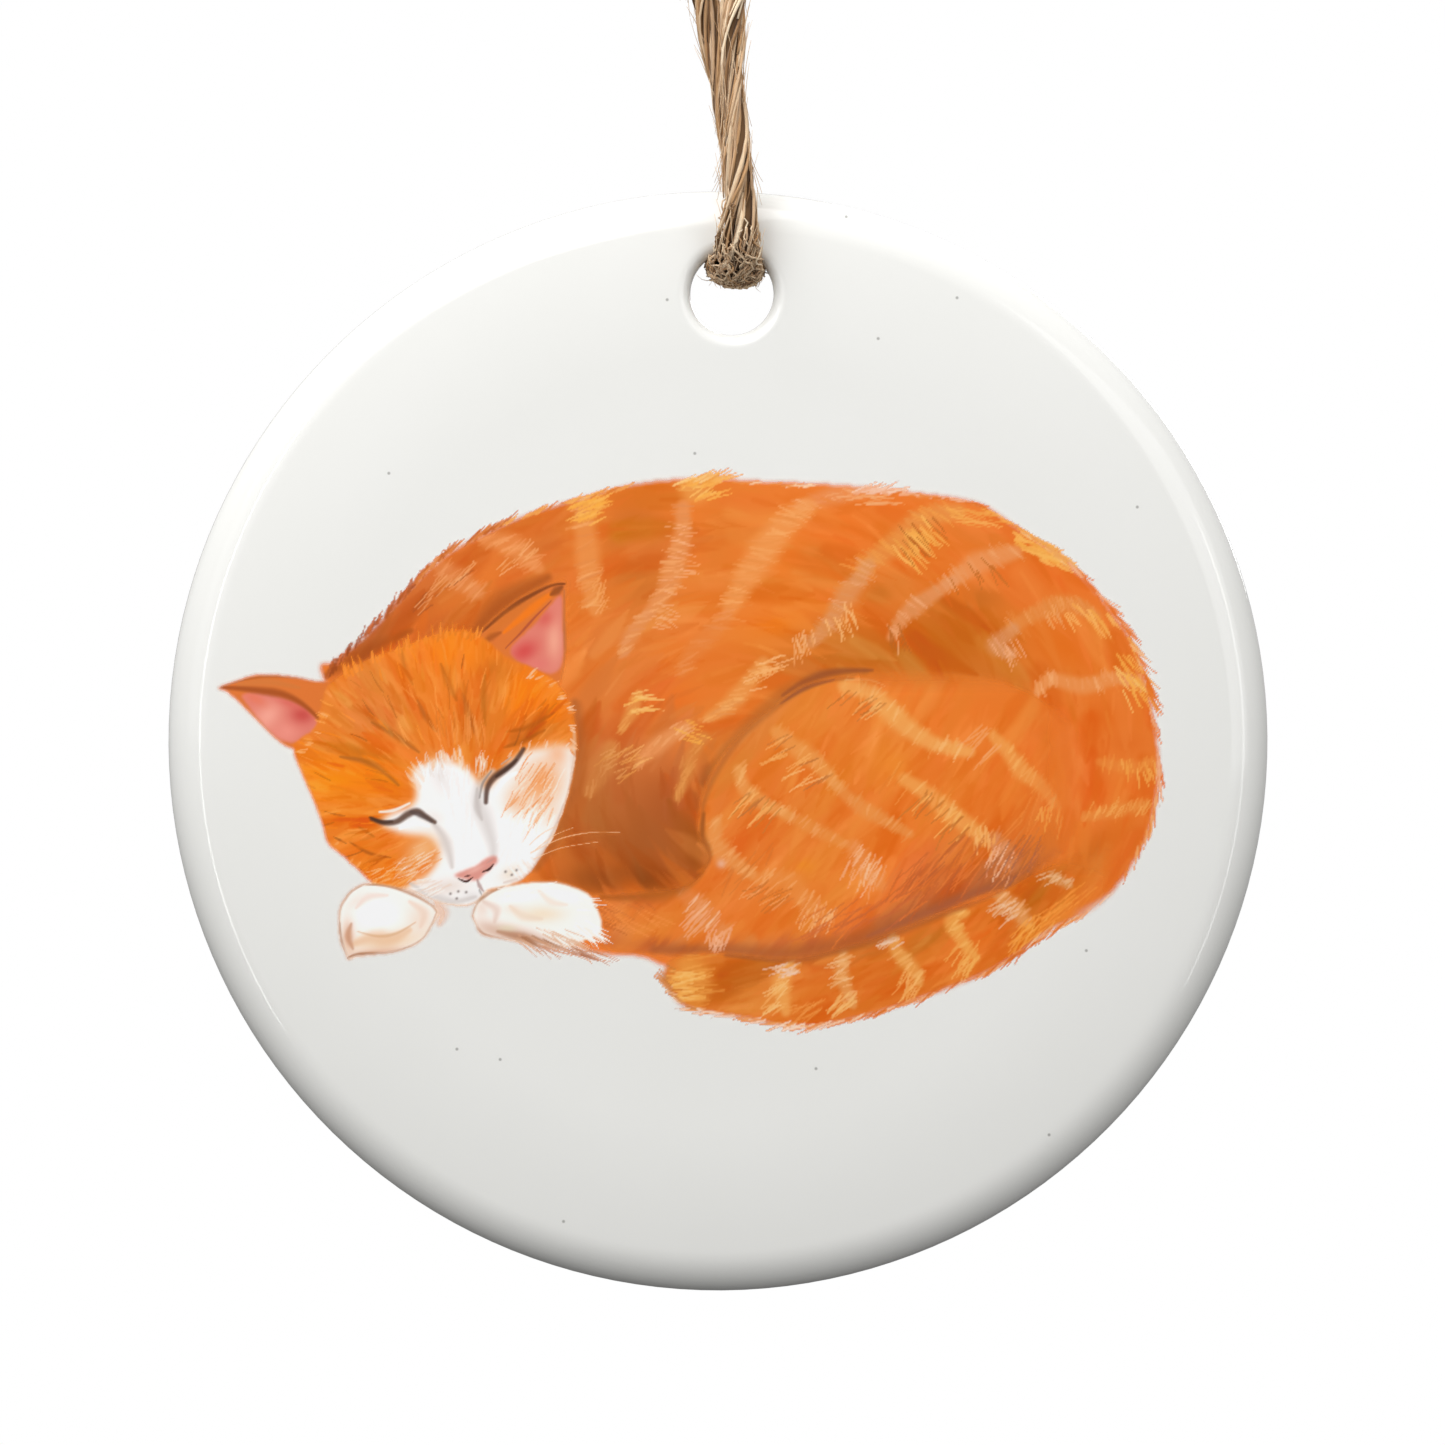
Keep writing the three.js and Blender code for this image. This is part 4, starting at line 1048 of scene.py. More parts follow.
BACK_SHADES = [
    (((-9.1, 2.4), (-8.9, 0), (-9.2, -2), (-9.7, -4), (-10.4, -6), (-11.6, -8)), 1.5, "#ae6030", 0.66, 1.0),
    (((-15.4, 7), (-13.4, 8.9), (-10.8, 10.4)), 1.3, "#a85424", 0.7, 1.0),
    (((-24.9, 4.2), (-22.5, 5.6), (-19.5, 7)), 0.9, "#a5501f", 0.6, 1.0),
    (((9.4, 4.4), (7, 4.2), (5.2, 3.5), (3.2, 2.1), (1, 0.1), (-0.6, -2)), 1.0, "#b0662f", 0.6, 1.0),
    (((9.8, 4.5), (7.4, 4.4), (5.6, 3.8), (4.1, 2.9)), 0.5, "#8f4c30", 0.6, 0.9),
]
CHEST_TONES = [
    ((-7.4, -2.2), (2.0, 3.0), "#bb6a38", 0.5, 10),
    ((-7.6, -5.6), (2.8, 2.2), "#b0622f", 0.6, 0),
    ((-4.6, -6.4), (2.6, 2.2), "#a85c2e", 0.55, 20),
    ((-6.6, -8.6), (3.8, 0.9), "#965026", 0.5, 4),
]
HAUNCH_SHADES = [
    (((8.6, 4), (6.8, 3.8), (5.2, 3.2), (3.4, 2), (1.4, 0.2), (-0.1, -2), (-0.9, -4), (-1, -6)), 0.5,
     "#a8602f", 0.5, 1.0),
    (((7.4, 3.9), (5.6, 3.4), (4, 2.4)), 0.3, "#854a38", 0.6, 0.9),
    (((-0.9, -4.6), (-1, -6), (-0.6, -7.4), (-1.2, -8.4)), 0.5, "#9a5426", 0.7, 0.9),
    (((-1, -8.2), (-2.4, -9.3), (-4.6, -9.8), (-7.4, -9.9)), 0.9, "#99501f", 0.6, 1.0),
    (((8.1, 3.9), (9.6, 3.9), (10.6, 3.5)), 0.16, "#f0b070", 0.6, 0.7),
]
TAIL_SHADES = [
    (((20, -8.3), (17.4, -9.7), (14.4, -10.9), (11, -12.2), (8, -13.2), (4.6, -13.9), (0.5, -13.6)), 0.6,
     "#9a5632", 0.6, 1.0),
]
TAIL_SHADOW = [
    (21.5, -7), (19.5, -8.3), (17, -9.4), (14.5, -10.4), (12, -11.4), (9.5, -12.4), (6.5, -13.2), (4, -13.5),
    (0, -13.3), (-4, -13.3),
]


def back_flow(x, y):
    """The way the fur lies on the back, in degrees: round the body from the nape to the rump."""
    return math.degrees(math.atan2(y + 3, (x - 3) * 0.75)) - 100


def haunch_flow(x, y):
    """Down and to the left over the thigh, steeper to the right of it and towards its top."""
    return 232 + 1.1 * (x - 8) * 0.4 + 1.2 * (y + 4) * 0.5


def tail_flow(x, y):
    """Towards the tip, and more downwards near the rump. It is the same all across the tail."""
    return 196 + 24 * min(max((x - 3) / 14, -0.5), 1.4)


def head_flow(x, y):
    """Away from the bridge of the nose."""
    return math.degrees(math.atan2(y + 4.5, x + 16.2))


def fur(canvas, tones, stripes, tufts, flow, streaks, drags):
    """Paints striped fur: soft tones, dragged paint, fine streaks, stripes and crisp hairs."""
    canvas.glows(tones)
    canvas.daubs(drags, 3.8, 1.3, flow, 0.5, spread=14, contrast=0.085, soft=0.6)
    canvas.daubs(streaks, 2.0, 0.34, flow, 0.36, spread=14, contrast=0.06)
    for points, width, shades, strength in stripes:
        canvas.comb(points, width, shades, flow, strength, density=7)
    for tuft in tufts:
        canvas.tuft(*tuft)


def fade(place, start, end):
    """A cover that thins from 1 at one line to 0 at another."""
    return np.clip((place - end) / (start - end), 0, 1)


def paint_back(pitch):
    """The body behind the head, from the shoulder over the back to the rump."""
    canvas = Canvas(smooth_line(BACK, True), margin=2.2, pitch=pitch, seed=11, base="#e87b33")
    fur(canvas, BACK_TONES, BACK_STRIPES, BACK_TUFTS, back_flow, 1200, 380)
    canvas.lines(BACK_SHADES)
    canvas.glows(CHEST_TONES)
    for fringe in BACK_FRINGES:
        canvas.fringe(*fringe)
    return canvas


def paint_haunch(pitch):
    """The near haunch, in front of the back."""
    canvas = Canvas(smooth_line(HAUNCH, True), margin=0.8, pitch=pitch, seed=23, base="#e67d32", edge=0.12)
    canvas.glows(HAUNCH_TONES)
    canvas.daubs(200, 3.4, 1.2, haunch_flow, 0.5, spread=14, contrast=0.075, soft=0.6)
    canvas.daubs(560, 1.8, 0.34, haunch_flow, 0.34, spread=14, contrast=0.055)
    for points, width, shades, strength in HAUNCH_STRIPES:
        canvas.comb(points, width, shades, haunch_flow, strength, density=6)
    canvas.lines(HAUNCH_SHADES)
    canvas.brush(smooth_line(TAIL_SHADOW), 1.2, "#a85c34", 0.65, soft=1.0, ends=(0.4, 0.5))
    canvas.brush(smooth_line(TAIL_SHADOW[1:6]), 0.6, "#a05c44", 0.4, soft=1.0, ends=(0.3, 0.3))
    for tuft in HAUNCH_TUFTS:
        canvas.tuft(*tuft)
    canvas.glow((0.2, -7.8), (0.35, 0.35), "#eab8a0", 0.8, 0)
    rump = fade(canvas.across, 18.5, 23.5) * fade(canvas.up, 3.0, 4.6)
    canvas.cover *= np.where(canvas.across > 9, rump, 1.0)
    return canvas


def paint_tail(pitch):
    """The tail, round the bottom of the body."""
    canvas = Canvas(smooth_line(TAIL, True), margin=1.8, pitch=pitch, seed=31, base="#df742a")
    fur(canvas, TAIL_TONES, TAIL_STRIPES, TAIL_TUFTS, tail_flow, 420, 100)
    canvas.lines(TAIL_SHADES)
    for fringe in TAIL_FRINGES:
        canvas.fringe(*fringe)
    rump = fade(canvas.across, 22.5, 26.5) * fade(canvas.up, -8.6, -7.0)
    canvas.cover *= np.where(canvas.across > 19, rump, 1.0)
    return canvas


def paint_head(pitch):
    """The head with both ears and both paws."""
    parts = [smooth_line(part, True) for part in (HEAD, LEFT_EAR, RIGHT_EAR, LEFT_PAW, RIGHT_PAW)]
    canvas = Canvas(np.vstack(parts), margin=1.2, pitch=pitch, seed=47, base="#ea7f2e")
    shape = np.zeros(canvas.across.shape, bool)
    for part in parts:
        shape |= inside(part, canvas.across, canvas.up)
    canvas.cover = softened(shape, int(round(0.07 / pitch)))
    canvas.spots = np.argwhere(inside(smooth_line(HEAD, True), canvas.across, canvas.up))
    soft = 0.1

    # ears
    for outline, pink in ((LEFT_EAR, LEFT_EAR_PINK), (RIGHT_EAR, RIGHT_EAR_PINK)):
        canvas.within(outline, soft)
        canvas.lay(1.0, "#dc7638")
        canvas.within(pink, soft)
        canvas.lay(1.0, "#e08070")
        canvas.glows(EAR_TONES)
        canvas.within(outline, soft)
        canvas.lines(EAR_LINES)

    # fur of the head
    canvas.within(HEAD, soft)
    canvas.lay(1.0, "#ea7f2e")
    canvas.glows(HEAD_TONES)
    canvas.daubs(420, 1.8, 0.7, head_flow, 0.5, spread=14, contrast=0.08, soft=0.6)
    canvas.lines(MARKINGS)
    canvas.daubs(900, 1.2, 0.2, head_flow, 0.4, spread=14, contrast=0.09)
    bright = ("#ff9a35", "#fb8a1e", "#f6a04e", "#ffab58")
    deep = ("#b35c1e", "#a9561f", "#c76a24", "#8f4c22")
    for _ in range(120):
        place = canvas.spot()
        tones = bright if canvas.chance.uniform() < 0.66 else deep
        canvas.hair(place, head_flow(*place) + canvas.chance.uniform(-14, 14),
                    canvas.chance.uniform(0.8, 1.6), 0.11, tones[canvas.chance.randint(len(tones))], 0.42)

    # the white of the face, with hairs of each colour crossing its edge
    blaze = softened(inside(smooth_line(BLAZE, True), canvas.across, canvas.up), int(round(0.22 / pitch)))
    canvas.lay(blaze, "#f8f4f2")
    canvas.glows(FACE_TONES)
    canvas.lines(FACE_SHADES)
    for *tuft, width in FACE_TUFTS:
        canvas.tuft(*tuft, strength=0.56, width=width)
    canvas.lines(FEATURES, 0.6)
    canvas.within(NOSE, 0.06)
    canvas.lay(0.95, "#dc9184")
    canvas.glow((-15.4, -8.15), (0.7, 0.2), "#edb3a6", 0.8, 25)
    canvas.within(HEAD, soft)
    canvas.lines(NOSE_LINES)
    for root in WHISKER_ROOTS:
        canvas.glow(root, (0.09, 0.09), "#5b4a45", 0.8)

    # edge of the cheek: fine pale hairs over the shoulder's fur
    canvas.within(None, 0)
    for fringe in CHEEK_FRINGES:
        canvas.fringe(*fringe, strength=0.8, set_back=0.15)

    # paws
    for outline in (LEFT_PAW, RIGHT_PAW):
        canvas.within(outline, 0.08)
        canvas.lay(1.0, "#fbf4ee")
        canvas.glows(PAW_TONES)
        canvas.lines(PAW_LINES)
    canvas.within(None, 0)
    for tuft in PAW_TUFTS:
        canvas.tuft(*tuft, grow=True)
    toe = smooth_line([(-17.9, -10.3), (-17.5, -10.9), (-17.7, -11.6)])
    canvas.brush(toe, 0.7, "#f6c6a2", 0.5, soft=1.0, ends=(0.5, 0.5), grow=True)
    for points, width in WHISKERS:
        canvas.brush(smooth_line(points), width, "#f0c9a6", 0.75, soft=0.5, ends=(0.8, 0.1), grow=True)
    return canvas


def link_mesh(name, mesh, body):
    """A finished piece at the origin, riding on its body."""
    piece = bpy.data.objects.new(name, mesh)
    bpy.context.collection.objects.link(piece)
    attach(piece, body)
    return piece


def finish_mesh(bm, name, smooth=True):
    """Turns a bmesh into a mesh."""
    mesh = bpy.data.meshes.new(name)
    bm.to_mesh(mesh)
    bm.free()
    if smooth:
        mesh.shade_smooth()
    return mesh


def quarter_turn(centre, reach, start, steps):
    """Points on a quarter ellipse in the XY plane."""
    angles = [start + math.pi / 2 * i / steps for i in range(steps + 1)]
    return [Vector((centre[0] + reach[0] * math.cos(a), centre[1] + reach[1] * math.sin(a), 0))
            for a in angles]


def spun_ring(bm, profile, centre, facets):
    """Spins a profile, given out from the axis and along it, once round the Y axis through a centre."""
    verts = [bm.verts.new(centre + point) for point in profile]
    edges = [bm.edges.new(pair) for pair in zip(verts, verts[1:])]
    bmesh.ops.spin(bm, geom=verts + edges, cent=centre, axis=(0, 1, 0), angle=math.tau, steps=facets,
                   use_merge=True)


def disc_mesh(settings):
    """The glazed disc: a rounded rim and a rounded hanging hole, joined by two flat faces."""
    low, high = Vector(DISC_LOW), Vector(DISC_HIGH)
    centre = (low + high) / 2
    centre.x = 0
    radius, half = (high.x - low.x) / 2, (high.y - low.y) / 2
    flat = radius - settings.rim_width
    mouth = settings.hole_radius + settings.mouth_radius
    margin = 0.12 * MM  # a flat strip on each face beside a rounding
    rim_steps, mouth_steps = 10, 5
    bm = bmesh.new()
    rim = quarter_turn((flat, 0), (settings.rim_width, half), -math.pi / 2, rim_steps)
    rim += quarter_turn((flat, 0), (settings.rim_width, half), 0, rim_steps)[1:]
    edge_front, edge_back = Vector((flat - margin, -half, 0)), Vector((flat - margin, half, 0))
    spun_ring(bm, [edge_front, *rim, edge_back], centre, settings.facets)
    inner = half - settings.mouth_radius
    rounding = (settings.mouth_radius, settings.mouth_radius)
    wall = quarter_turn((mouth, -inner), rounding, math.pi, mouth_steps)[::-1]
    wall += quarter_turn((mouth, inner), rounding, math.pi / 2, mouth_steps)[::-1]
    lip_front, lip_back = Vector((mouth + margin, -half, 0)), Vector((mouth + margin, half, 0))
    hole = centre + Vector((0, 0, settings.hole_rise))
    spun_ring(bm, [lip_front, *wall, lip_back], hole, settings.facets)
    bmesh.ops.remove_doubles(bm, verts=bm.verts, dist=1e-7)
    for side in (-half, half):
        open_edges = [edge for edge in bm.edges
                      if edge.is_boundary and abs(edge.verts[0].co.y - centre.y - side) < 1e-6]
        bmesh.ops.triangle_fill(bm, edges=open_edges, use_beauty=True, normal=(0, side, 0))
    bmesh.ops.recalc_face_normals(bm, faces=bm.faces)
    return finish_mesh(bm, "glazed_disc")


def hidden_under(canvas, others):
    """True for cells well inside the full cover of a later layer, where nothing would be seen."""
    hidden = np.zeros(canvas.across.shape, bool)
    for other in others:
        full = softened(other.cover > 0.995, 3) > 0.999
        columns = np.round((canvas.across - other.low[0]) / other.pitch).astype(int)
        rows = np.round((canvas.up - other.low[1]) / other.pitch).astype(int)
        reached = (columns >= 0) & (rows >= 0) & (columns < full.shape[1]) & (rows < full.shape[0])
        hidden |= reached & full[np.where(reached, rows, 0), np.where(reached, columns, 0)]
    return hidden


def ink_mesh(name, canvas, height, settings, others):
    """A sheet of ink: one face for each cell of the canvas that has ink, painted from the canvas."""
    rows, columns = canvas.across.shape
    inked = softened(canvas.cover > 0.01, 1) > 0
    seen = inked & ~hidden_under(canvas, others)
    bm = bmesh.new()
    bmesh.ops.create_grid(bm, x_segments=columns - 1, y_segments=rows - 1, size=0.5)
    span = Vector(((columns - 1) * canvas.pitch * MM, (rows - 1) * canvas.pitch * MM, 1))
    bmesh.ops.scale(bm, verts=bm.verts, vec=span)
    corner = Vector((canvas.low[0] * MM, canvas.low[1] * MM, 0))
    bmesh.ops.translate(bm, verts=bm.verts, vec=corner + Vector((span.x / 2, span.y / 2, 0)))
    unused = [vert for vert, kept in zip(bm.verts, seen.ravel()) if not kept]
    bmesh.ops.delete(bm, geom=unused, context="VERTS")
    place = Matrix.Translation((0, DISC_LOW[1] - height, DISC_CENTRE_Z))
    place = place @ Matrix.Rotation(math.pi / 2, 4, "X") @ Matrix.Rotation(settings.turn, 4, "Z")
    bmesh.ops.transform(bm, verts=bm.verts, matrix=place)
    mesh = finish_mesh(bm, name)
    paint = np.dstack([linear_ink(canvas.colour), canvas.cover])[seen]
    attribute = mesh.color_attributes.new("ink", "FLOAT_COLOR", "POINT")
    attribute.data.foreach_set("color", paint.astype(np.float32).ravel())
    return mesh


# The route of the twine in millimetres: down the front, through the hole and up the back.
FRONT_STRAND = [
    (1.2, 0, -0.3), (2.7, 0, -4), (3.9, -0.2, -9), (4, -0.5, -15), (3.1, -0.9, -21), (1.5, -1.4, -27),
    (0.2, -1.9, -32), (-0.5, -2.3, -36.5), (-0.3, -2.9, -42), (0.1, -3.25, -47),
]
REAR_STRAND = [
    (0.1, 3.25, -47), (-1.0, 2.8, -42), (-2.3, 2.2, -36.5), (-3.3, 1.8, -32), (-4.7, 1.3, -27),
    (-5.9, 0.9, -21), (-6.1, 0.5, -15), (-5.1, 0.2, -9), (-3.2, 0, -4), (-1.2, 0, -0.3),
]
# The turn through the hole and round the web above it.
BIGHT_MIDDLE = -50.3
BIGHT_RADIUS = 3.2
BIGHT_SIDE = 0.3
RIGHT_TAIL = [(1.2, -0.2, 8.3), (2.4, -0.6, 11), (4.6, -1.2, 13.2), (7.4, -1.8, 14)]
LEFT_TAIL = [(-1.2, 0.2, 8.3), (-1.9, 0.6, 11.4), (-3.6, 1, 14.2), (-6, 1.3, 15.6)]

# An overhand knot tied in both strands: the middle of the pair, and how far the right strand lies from it.
KNOT_ROUTE = [
    ((0, 0, -0.3), (1.2, 0, 0)),
    ((-0.1, 0.5, 1.6), (1, 0, -0.1)),
    ((0.2, 0.8, 4.2), (0.9, 0, 0.2)),
    ((1.5, 0.6, 6.1), (0.5, 0, 0.7)),
    ((2.7, -0.9, 6), (0.1, 0, 1)),
    ((1.5, -2.6, 5), (0, 0, 1.05)),
    ((-0.9, -2.85, 4.2), (0, 0, 1.05)),
    ((-2.8, -1.1, 3.4), (0, 0, 1.05)),
    ((-2.5, 1.6, 3), (0, 0, 1.05)),
    ((-0.2, 2.85, 3.2), (0, 0, 1)),
    ((2.3, 1.9, 3.6), (0, 0, 0.9)),
    ((2.2, -0.2, 4.4), (0.3, 0, 0.7)),
    ((0.8, -0.9, 6), (0.8, 0, 0.3)),
    ((0.1, -0.3, 7.6), (1.1, 0.1, 0)),
    ((0, 0, 8.6), (1.2, -0.2, 0)),
]


def loop_route():
    """The whole loop from one side of the knot to the other."""
    bight = []
    steps = 6
    for i in range(steps + 1):
        turn = i / steps * math.pi
        side = BIGHT_SIDE * (1 - i / steps)
        bight.append((side, -BIGHT_RADIUS * math.cos(turn), BIGHT_MIDDLE - BIGHT_RADIUS * math.sin(turn)))
    return FRONT_STRAND + bight + REAR_STRAND


# How long a bundle of fibres is, and the usual length, in millimetres.
BUNDLE_LENGTHS = (7, 26)
USUAL_BUNDLE = 17

# The shares of each shade among the loose hairs, and among the fibres that stand out at the hole.
HAIR_SHADES = {"pale": 0.55, "tan": 0.35, "ochre": 0.1}
# The fibres at the hole are mostly light: painted light on the bend's underside, which is in shade.
TANGLE_PAINTED_LIGHT_SHADES = {"straw": 0.12, "pale": 0.46, "tan": 0.16, "ochre": 0.12, "brown": 0.14}
TANGLE_TAPER = (0.5, 1, 1, 1, 1, 1, 0.4)


def hump(place, middle, spread):
    """A smooth rise from 0 to 1 at a middle, and back."""
    return np.exp(-(((place - middle) / spread) ** 2))


class Core:
    """The middle line of a strand, and places round it: how far along, how far out, and at what angle."""

    def __init__(self, route, step=0.4):
        self.swell = None
        fine = smooth_line(route, steps=16)
        lengths = np.concatenate([[0], np.cumsum(np.linalg.norm(np.diff(fine, axis=0), axis=1))])
        self.length = lengths[-1]
        self.stations = np.linspace(0, self.length, int(self.length / step) + 2)
        self.line = np.stack([np.interp(self.stations, lengths, fine[:, k]) for k in range(3)], 1)
        ahead = np.gradient(self.line, axis=0)
        ahead /= np.linalg.norm(ahead, axis=1)[:, None]
        sides = [np.cross(ahead[0], (0, 1, 0))]
        for way in ahead[1:]:
            side = sides[-1] - way * (sides[-1] @ way)
            sides.append(side / np.linalg.norm(side))
        self.side = np.array(sides)
        self.up = np.cross(ahead, self.side)

    def around(self, along, out, angle):
        """Points at distances along the strand, so far out from its middle, at these angles round it. Where
        the strand swells, it does so by one share sideways and by another up."""
        middle, side, up = (
            np.stack([np.interp(along, self.stations, values[:, k]) for k in range(3)], 1)
            for values in (self.line, self.side, self.up)
        )
        wide, high = self.swell(along) if self.swell else (1, 1)
        sideways = (out * wide * np.cos(angle))[:, None] * side
        upwards = (out * high * np.sin(angle))[:, None] * up
        return middle + sideways + upwards


class Fibres:
    """A curve object that gathers fibres and becomes one mesh."""

    def __init__(self, name, settings):
        self.curve = bpy.data.curves.new(name, "CURVE")
        self.curve.dimensions = "3D"
        self.curve.bevel_depth = MM
        self.curve.bevel_resolution = 0
        self.curve.use_fill_caps = True
        for material in fibre_materials(settings):
            self.curve.materials.append(material)

    def add(self, points, radii, shade):
        """One fibre through points, with its radius at each, in millimetres."""
        spline = self.curve.splines.new("POLY")
        spline.points.add(len(points) - 1)
        places = np.concatenate([np.asarray(points) * MM, np.ones((len(points), 1))], 1)
        spline.points.foreach_set("co", places.astype(np.float32).ravel())
        spline.points.foreach_set("radius", np.asarray(radii, np.float32))
        spline.material_index = SHADES.index(shade)
        spline.use_smooth = True

    def mesh(self):
        """Sweeps the fibres and closes their ends."""
        holder = bpy.data.objects.new(self.curve.name, self.curve)
        bpy.context.collection.objects.link(holder)
        swept = holder.evaluated_get(bpy.context.evaluated_depsgraph_get())
        mesh = bpy.data.meshes.new_from_object(swept)
        bpy.data.objects.remove(holder)
        bm = bmesh.new()
        bm.from_mesh(mesh)
        bmesh.ops.remove_doubles(bm, verts=bm.verts, dist=1e-8)
        bm.to_mesh(mesh)
        bm.free()
        mesh.shade_smooth()
        return mesh


def pick(chance, shades):
    """One of the shades, each as likely as its share says."""
    names = list(shades)
    return names[chance.choice(len(names), p=[shades[name] for name in names])]


def lay_ply(fibres, core, settings, chance, turn, shades, span=None, bundles=None):
    """One of the three plies of a strand: a near-black heart, painted shade for the gaps, and fibre bundles
    lying round it. The shades are a function of the distance along the strand."""
    start, end = span or (0, core.length)
    lay = math.tau / settings.lay
    ply_out, ply_reach = settings.radius * 0.5, settings.radius * 0.5
    along = np.arange(start, end, 1.0)
    heart = 0.78 * ply_reach * (core.swell(along)[1] if core.swell else np.ones_like(along))
    # painted shade: the heart is near-black so that the gaps between bundles read dark
    fibres.add(core.around(along, ply_out, turn + lay * along), heart, "core")
    bundles = bundles or settings.bundles
    for _ in range(int(bundles * (end - start) / USUAL_BUNDLE) + bundles // 3):
        length = chance.uniform(*BUNDLE_LENGTHS)
        first = max(start, chance.uniform(start - length * 0.7, end - 3))
        last = min(end, first + length)
        if last - first < 2.5:
            continue
        along = np.linspace(first, last, max(4, int((last - first) / 0.8)))
        own_turn = chance.uniform(0, math.tau) + along * chance.uniform(-0.16, 0.02)
        wander = 0.5 * np.sin(along * chance.uniform(0.25, 0.8) + chance.uniform(0, 6))
        depth = ply_reach * (0.86 + 0.16 * np.sin(along * chance.uniform(0.2, 0.6) + chance.uniform(0, 6)))
        middle = turn + lay * along
        x = ply_out * np.cos(middle) + depth * np.cos(own_turn + wander + middle)
        y = ply_out * np.sin(middle) + depth * np.sin(own_turn + wander + middle)
        thick = chance.uniform(0.07, 0.17)
        share = np.linspace(0, 1, len(along))
        radii = thick * (0.35 + 0.65 * np.sin(np.pi * np.clip(share, 0.03, 0.97)) ** 0.5)
        radii *= 1 + 0.18 * np.sin(along * chance.uniform(1, 2.6) + chance.uniform(0, 6))
        fibres.add(core.around(along, np.hypot(x, y), np.arctan2(y, x)), radii,
                   pick(chance, shades(0.5 * (first + last))))


def stray_hairs(fibres, core, settings, chance, count, length, reach):
    """Fine hairs that leave the strand at a slant."""
    points = 6
    for _ in range(count):
        first = chance.uniform(0, core.length)
        run = chance.uniform(0.5, 1) * length * chance.choice([-1, 1])
        along = np.clip(first + np.linspace(0, run, points), 0, core.length)
        lift = np.linspace(0, 1, points) ** chance.uniform(1.2, 2.4) * reach * chance.uniform(0.25, 1)
        angle = chance.uniform(0, math.tau) + np.linspace(0, chance.uniform(-1, 1), points)
        fibres.add(core.around(along, settings.radius * 0.9 + lift, angle),
                   np.linspace(0.035, 0.012, points), pick(chance, HAIR_SHADES))


def tangled_fibres(fibres, core, settings, chance, centre, spread, count):
    """Short kinked fibres that stand out where the twine is bent hard round the web above the hole."""
    points = len(TANGLE_TAPER)
    for _ in range(count):
        middle = chance.normal(centre, spread)
        run = np.linspace(-0.5, 0.5, points) * chance.uniform(0.6, 1.6)
        along = np.clip(middle + run, 0, core.length)
        angle = chance.uniform(0, math.tau) + np.cumsum(chance.uniform(-0.3, 0.3, points))
        out = settings.radius * chance.uniform(0.86, 1.06) + chance.uniform(-0.08, 0.1, points)
        fibres.add(core.around(along, out, angle), chance.uniform(0.04, 0.075) * np.array(TANGLE_TAPER),
                   pick(chance, TANGLE_PAINTED_LIGHT_SHADES))


def usual_shades(place):
    """The mix of the knot and the twine's ends, the same at every place."""
    return {"pale": 0.24, "tan": 0.42, "ochre": 0.2, "brown": 0.14}


class ORNAMENT_OT_camera(bpy.types.Operator):
    """Adds the camera, square to the disc's face"""

    bl_idname = "ornament.camera"
    bl_label = "Camera"

    def execute(self, context):
        stage = context.scene.ornament_stage
        data = bpy.data.cameras.new("camera")
        data.lens = stage.lens
        data.sensor_width = 36
        camera = bpy.data.objects.new("camera", data)
        context.collection.objects.link(camera)
        right = Vector((math.cos(stage.roll), 0, math.sin(stage.roll)))
        up = Vector((-math.sin(stage.roll), 0, math.cos(stage.roll)))
        back = Vector((0, -1, 0))
        target = Vector((0, 0, DISC_CENTRE_Z)) + stage.aim[0] * right + stage.aim[1] * up
        distance = stage.field * stage.lens / data.sensor_width
        turn = Matrix((right, up, back)).transposed()
        camera.matrix_world = Matrix.Translation(target + back * distance) @ turn.to_4x4()
        context.scene.camera = camera
        return {"FINISHED"}


class ORNAMENT_OT_loop(bpy.types.Operator):
    """Adds the loop of twine that runs from the knot through the hole and back"""

    bl_idname = "ornament.loop"
    bl_label = "Twine Loop"

    def execute(self, context):
        settings = context.scene.ornament_twine
        chance = np.random.RandomState(5)
        core = Core(loop_route())
        middle = core.length / 2

        def swell(along):
            """The twine is pulled thin above the disc, and squeezed flat and wide in the hole."""
            bend = hump(along, middle, 4.4)
            thin = 0.3 * hump(np.abs(along - middle), 14, 5.5)
            return 0.96 + 0.62 * bend - thin, 0.96 + 0.04 * bend - thin

        core.swell = swell

        def shades(place):
            """The front strand is light with two brown patches; the rear one is darker, a painted shade."""
            if place < middle + 2:
                patch = hump(place, 44.5, 2.4) + hump(place, 38, 1.8)
                return {"straw": 0.12, "pale": 0.3 - 0.24 * patch, "tan": 0.38 - 0.1 * patch,
                        "ochre": 0.14 + 0.2 * patch, "brown": 0.06 + 0.14 * patch}
            # painted shade: the rear strand takes darker and near-black fibres
            return {"pale": 0.06, "tan": 0.14, "ochre": 0.3, "brown": 0.36, "core": 0.14}

        fibres = Fibres("jute_loop", settings)
        for ply in range(3):
            lay_ply(fibres, core, settings, chance, ply * math.tau / 3, shades)
        tangled_fibres(fibres, core, settings, chance, centre=middle, spread=2.0, count=520)
        stray_hairs(fibres, core, settings, chance, count=420, length=4.5, reach=0.9)
        piece = link_mesh("jute_loop", fibres.mesh(), "twine")
        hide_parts("twine_loop")
        return {"FINISHED"}


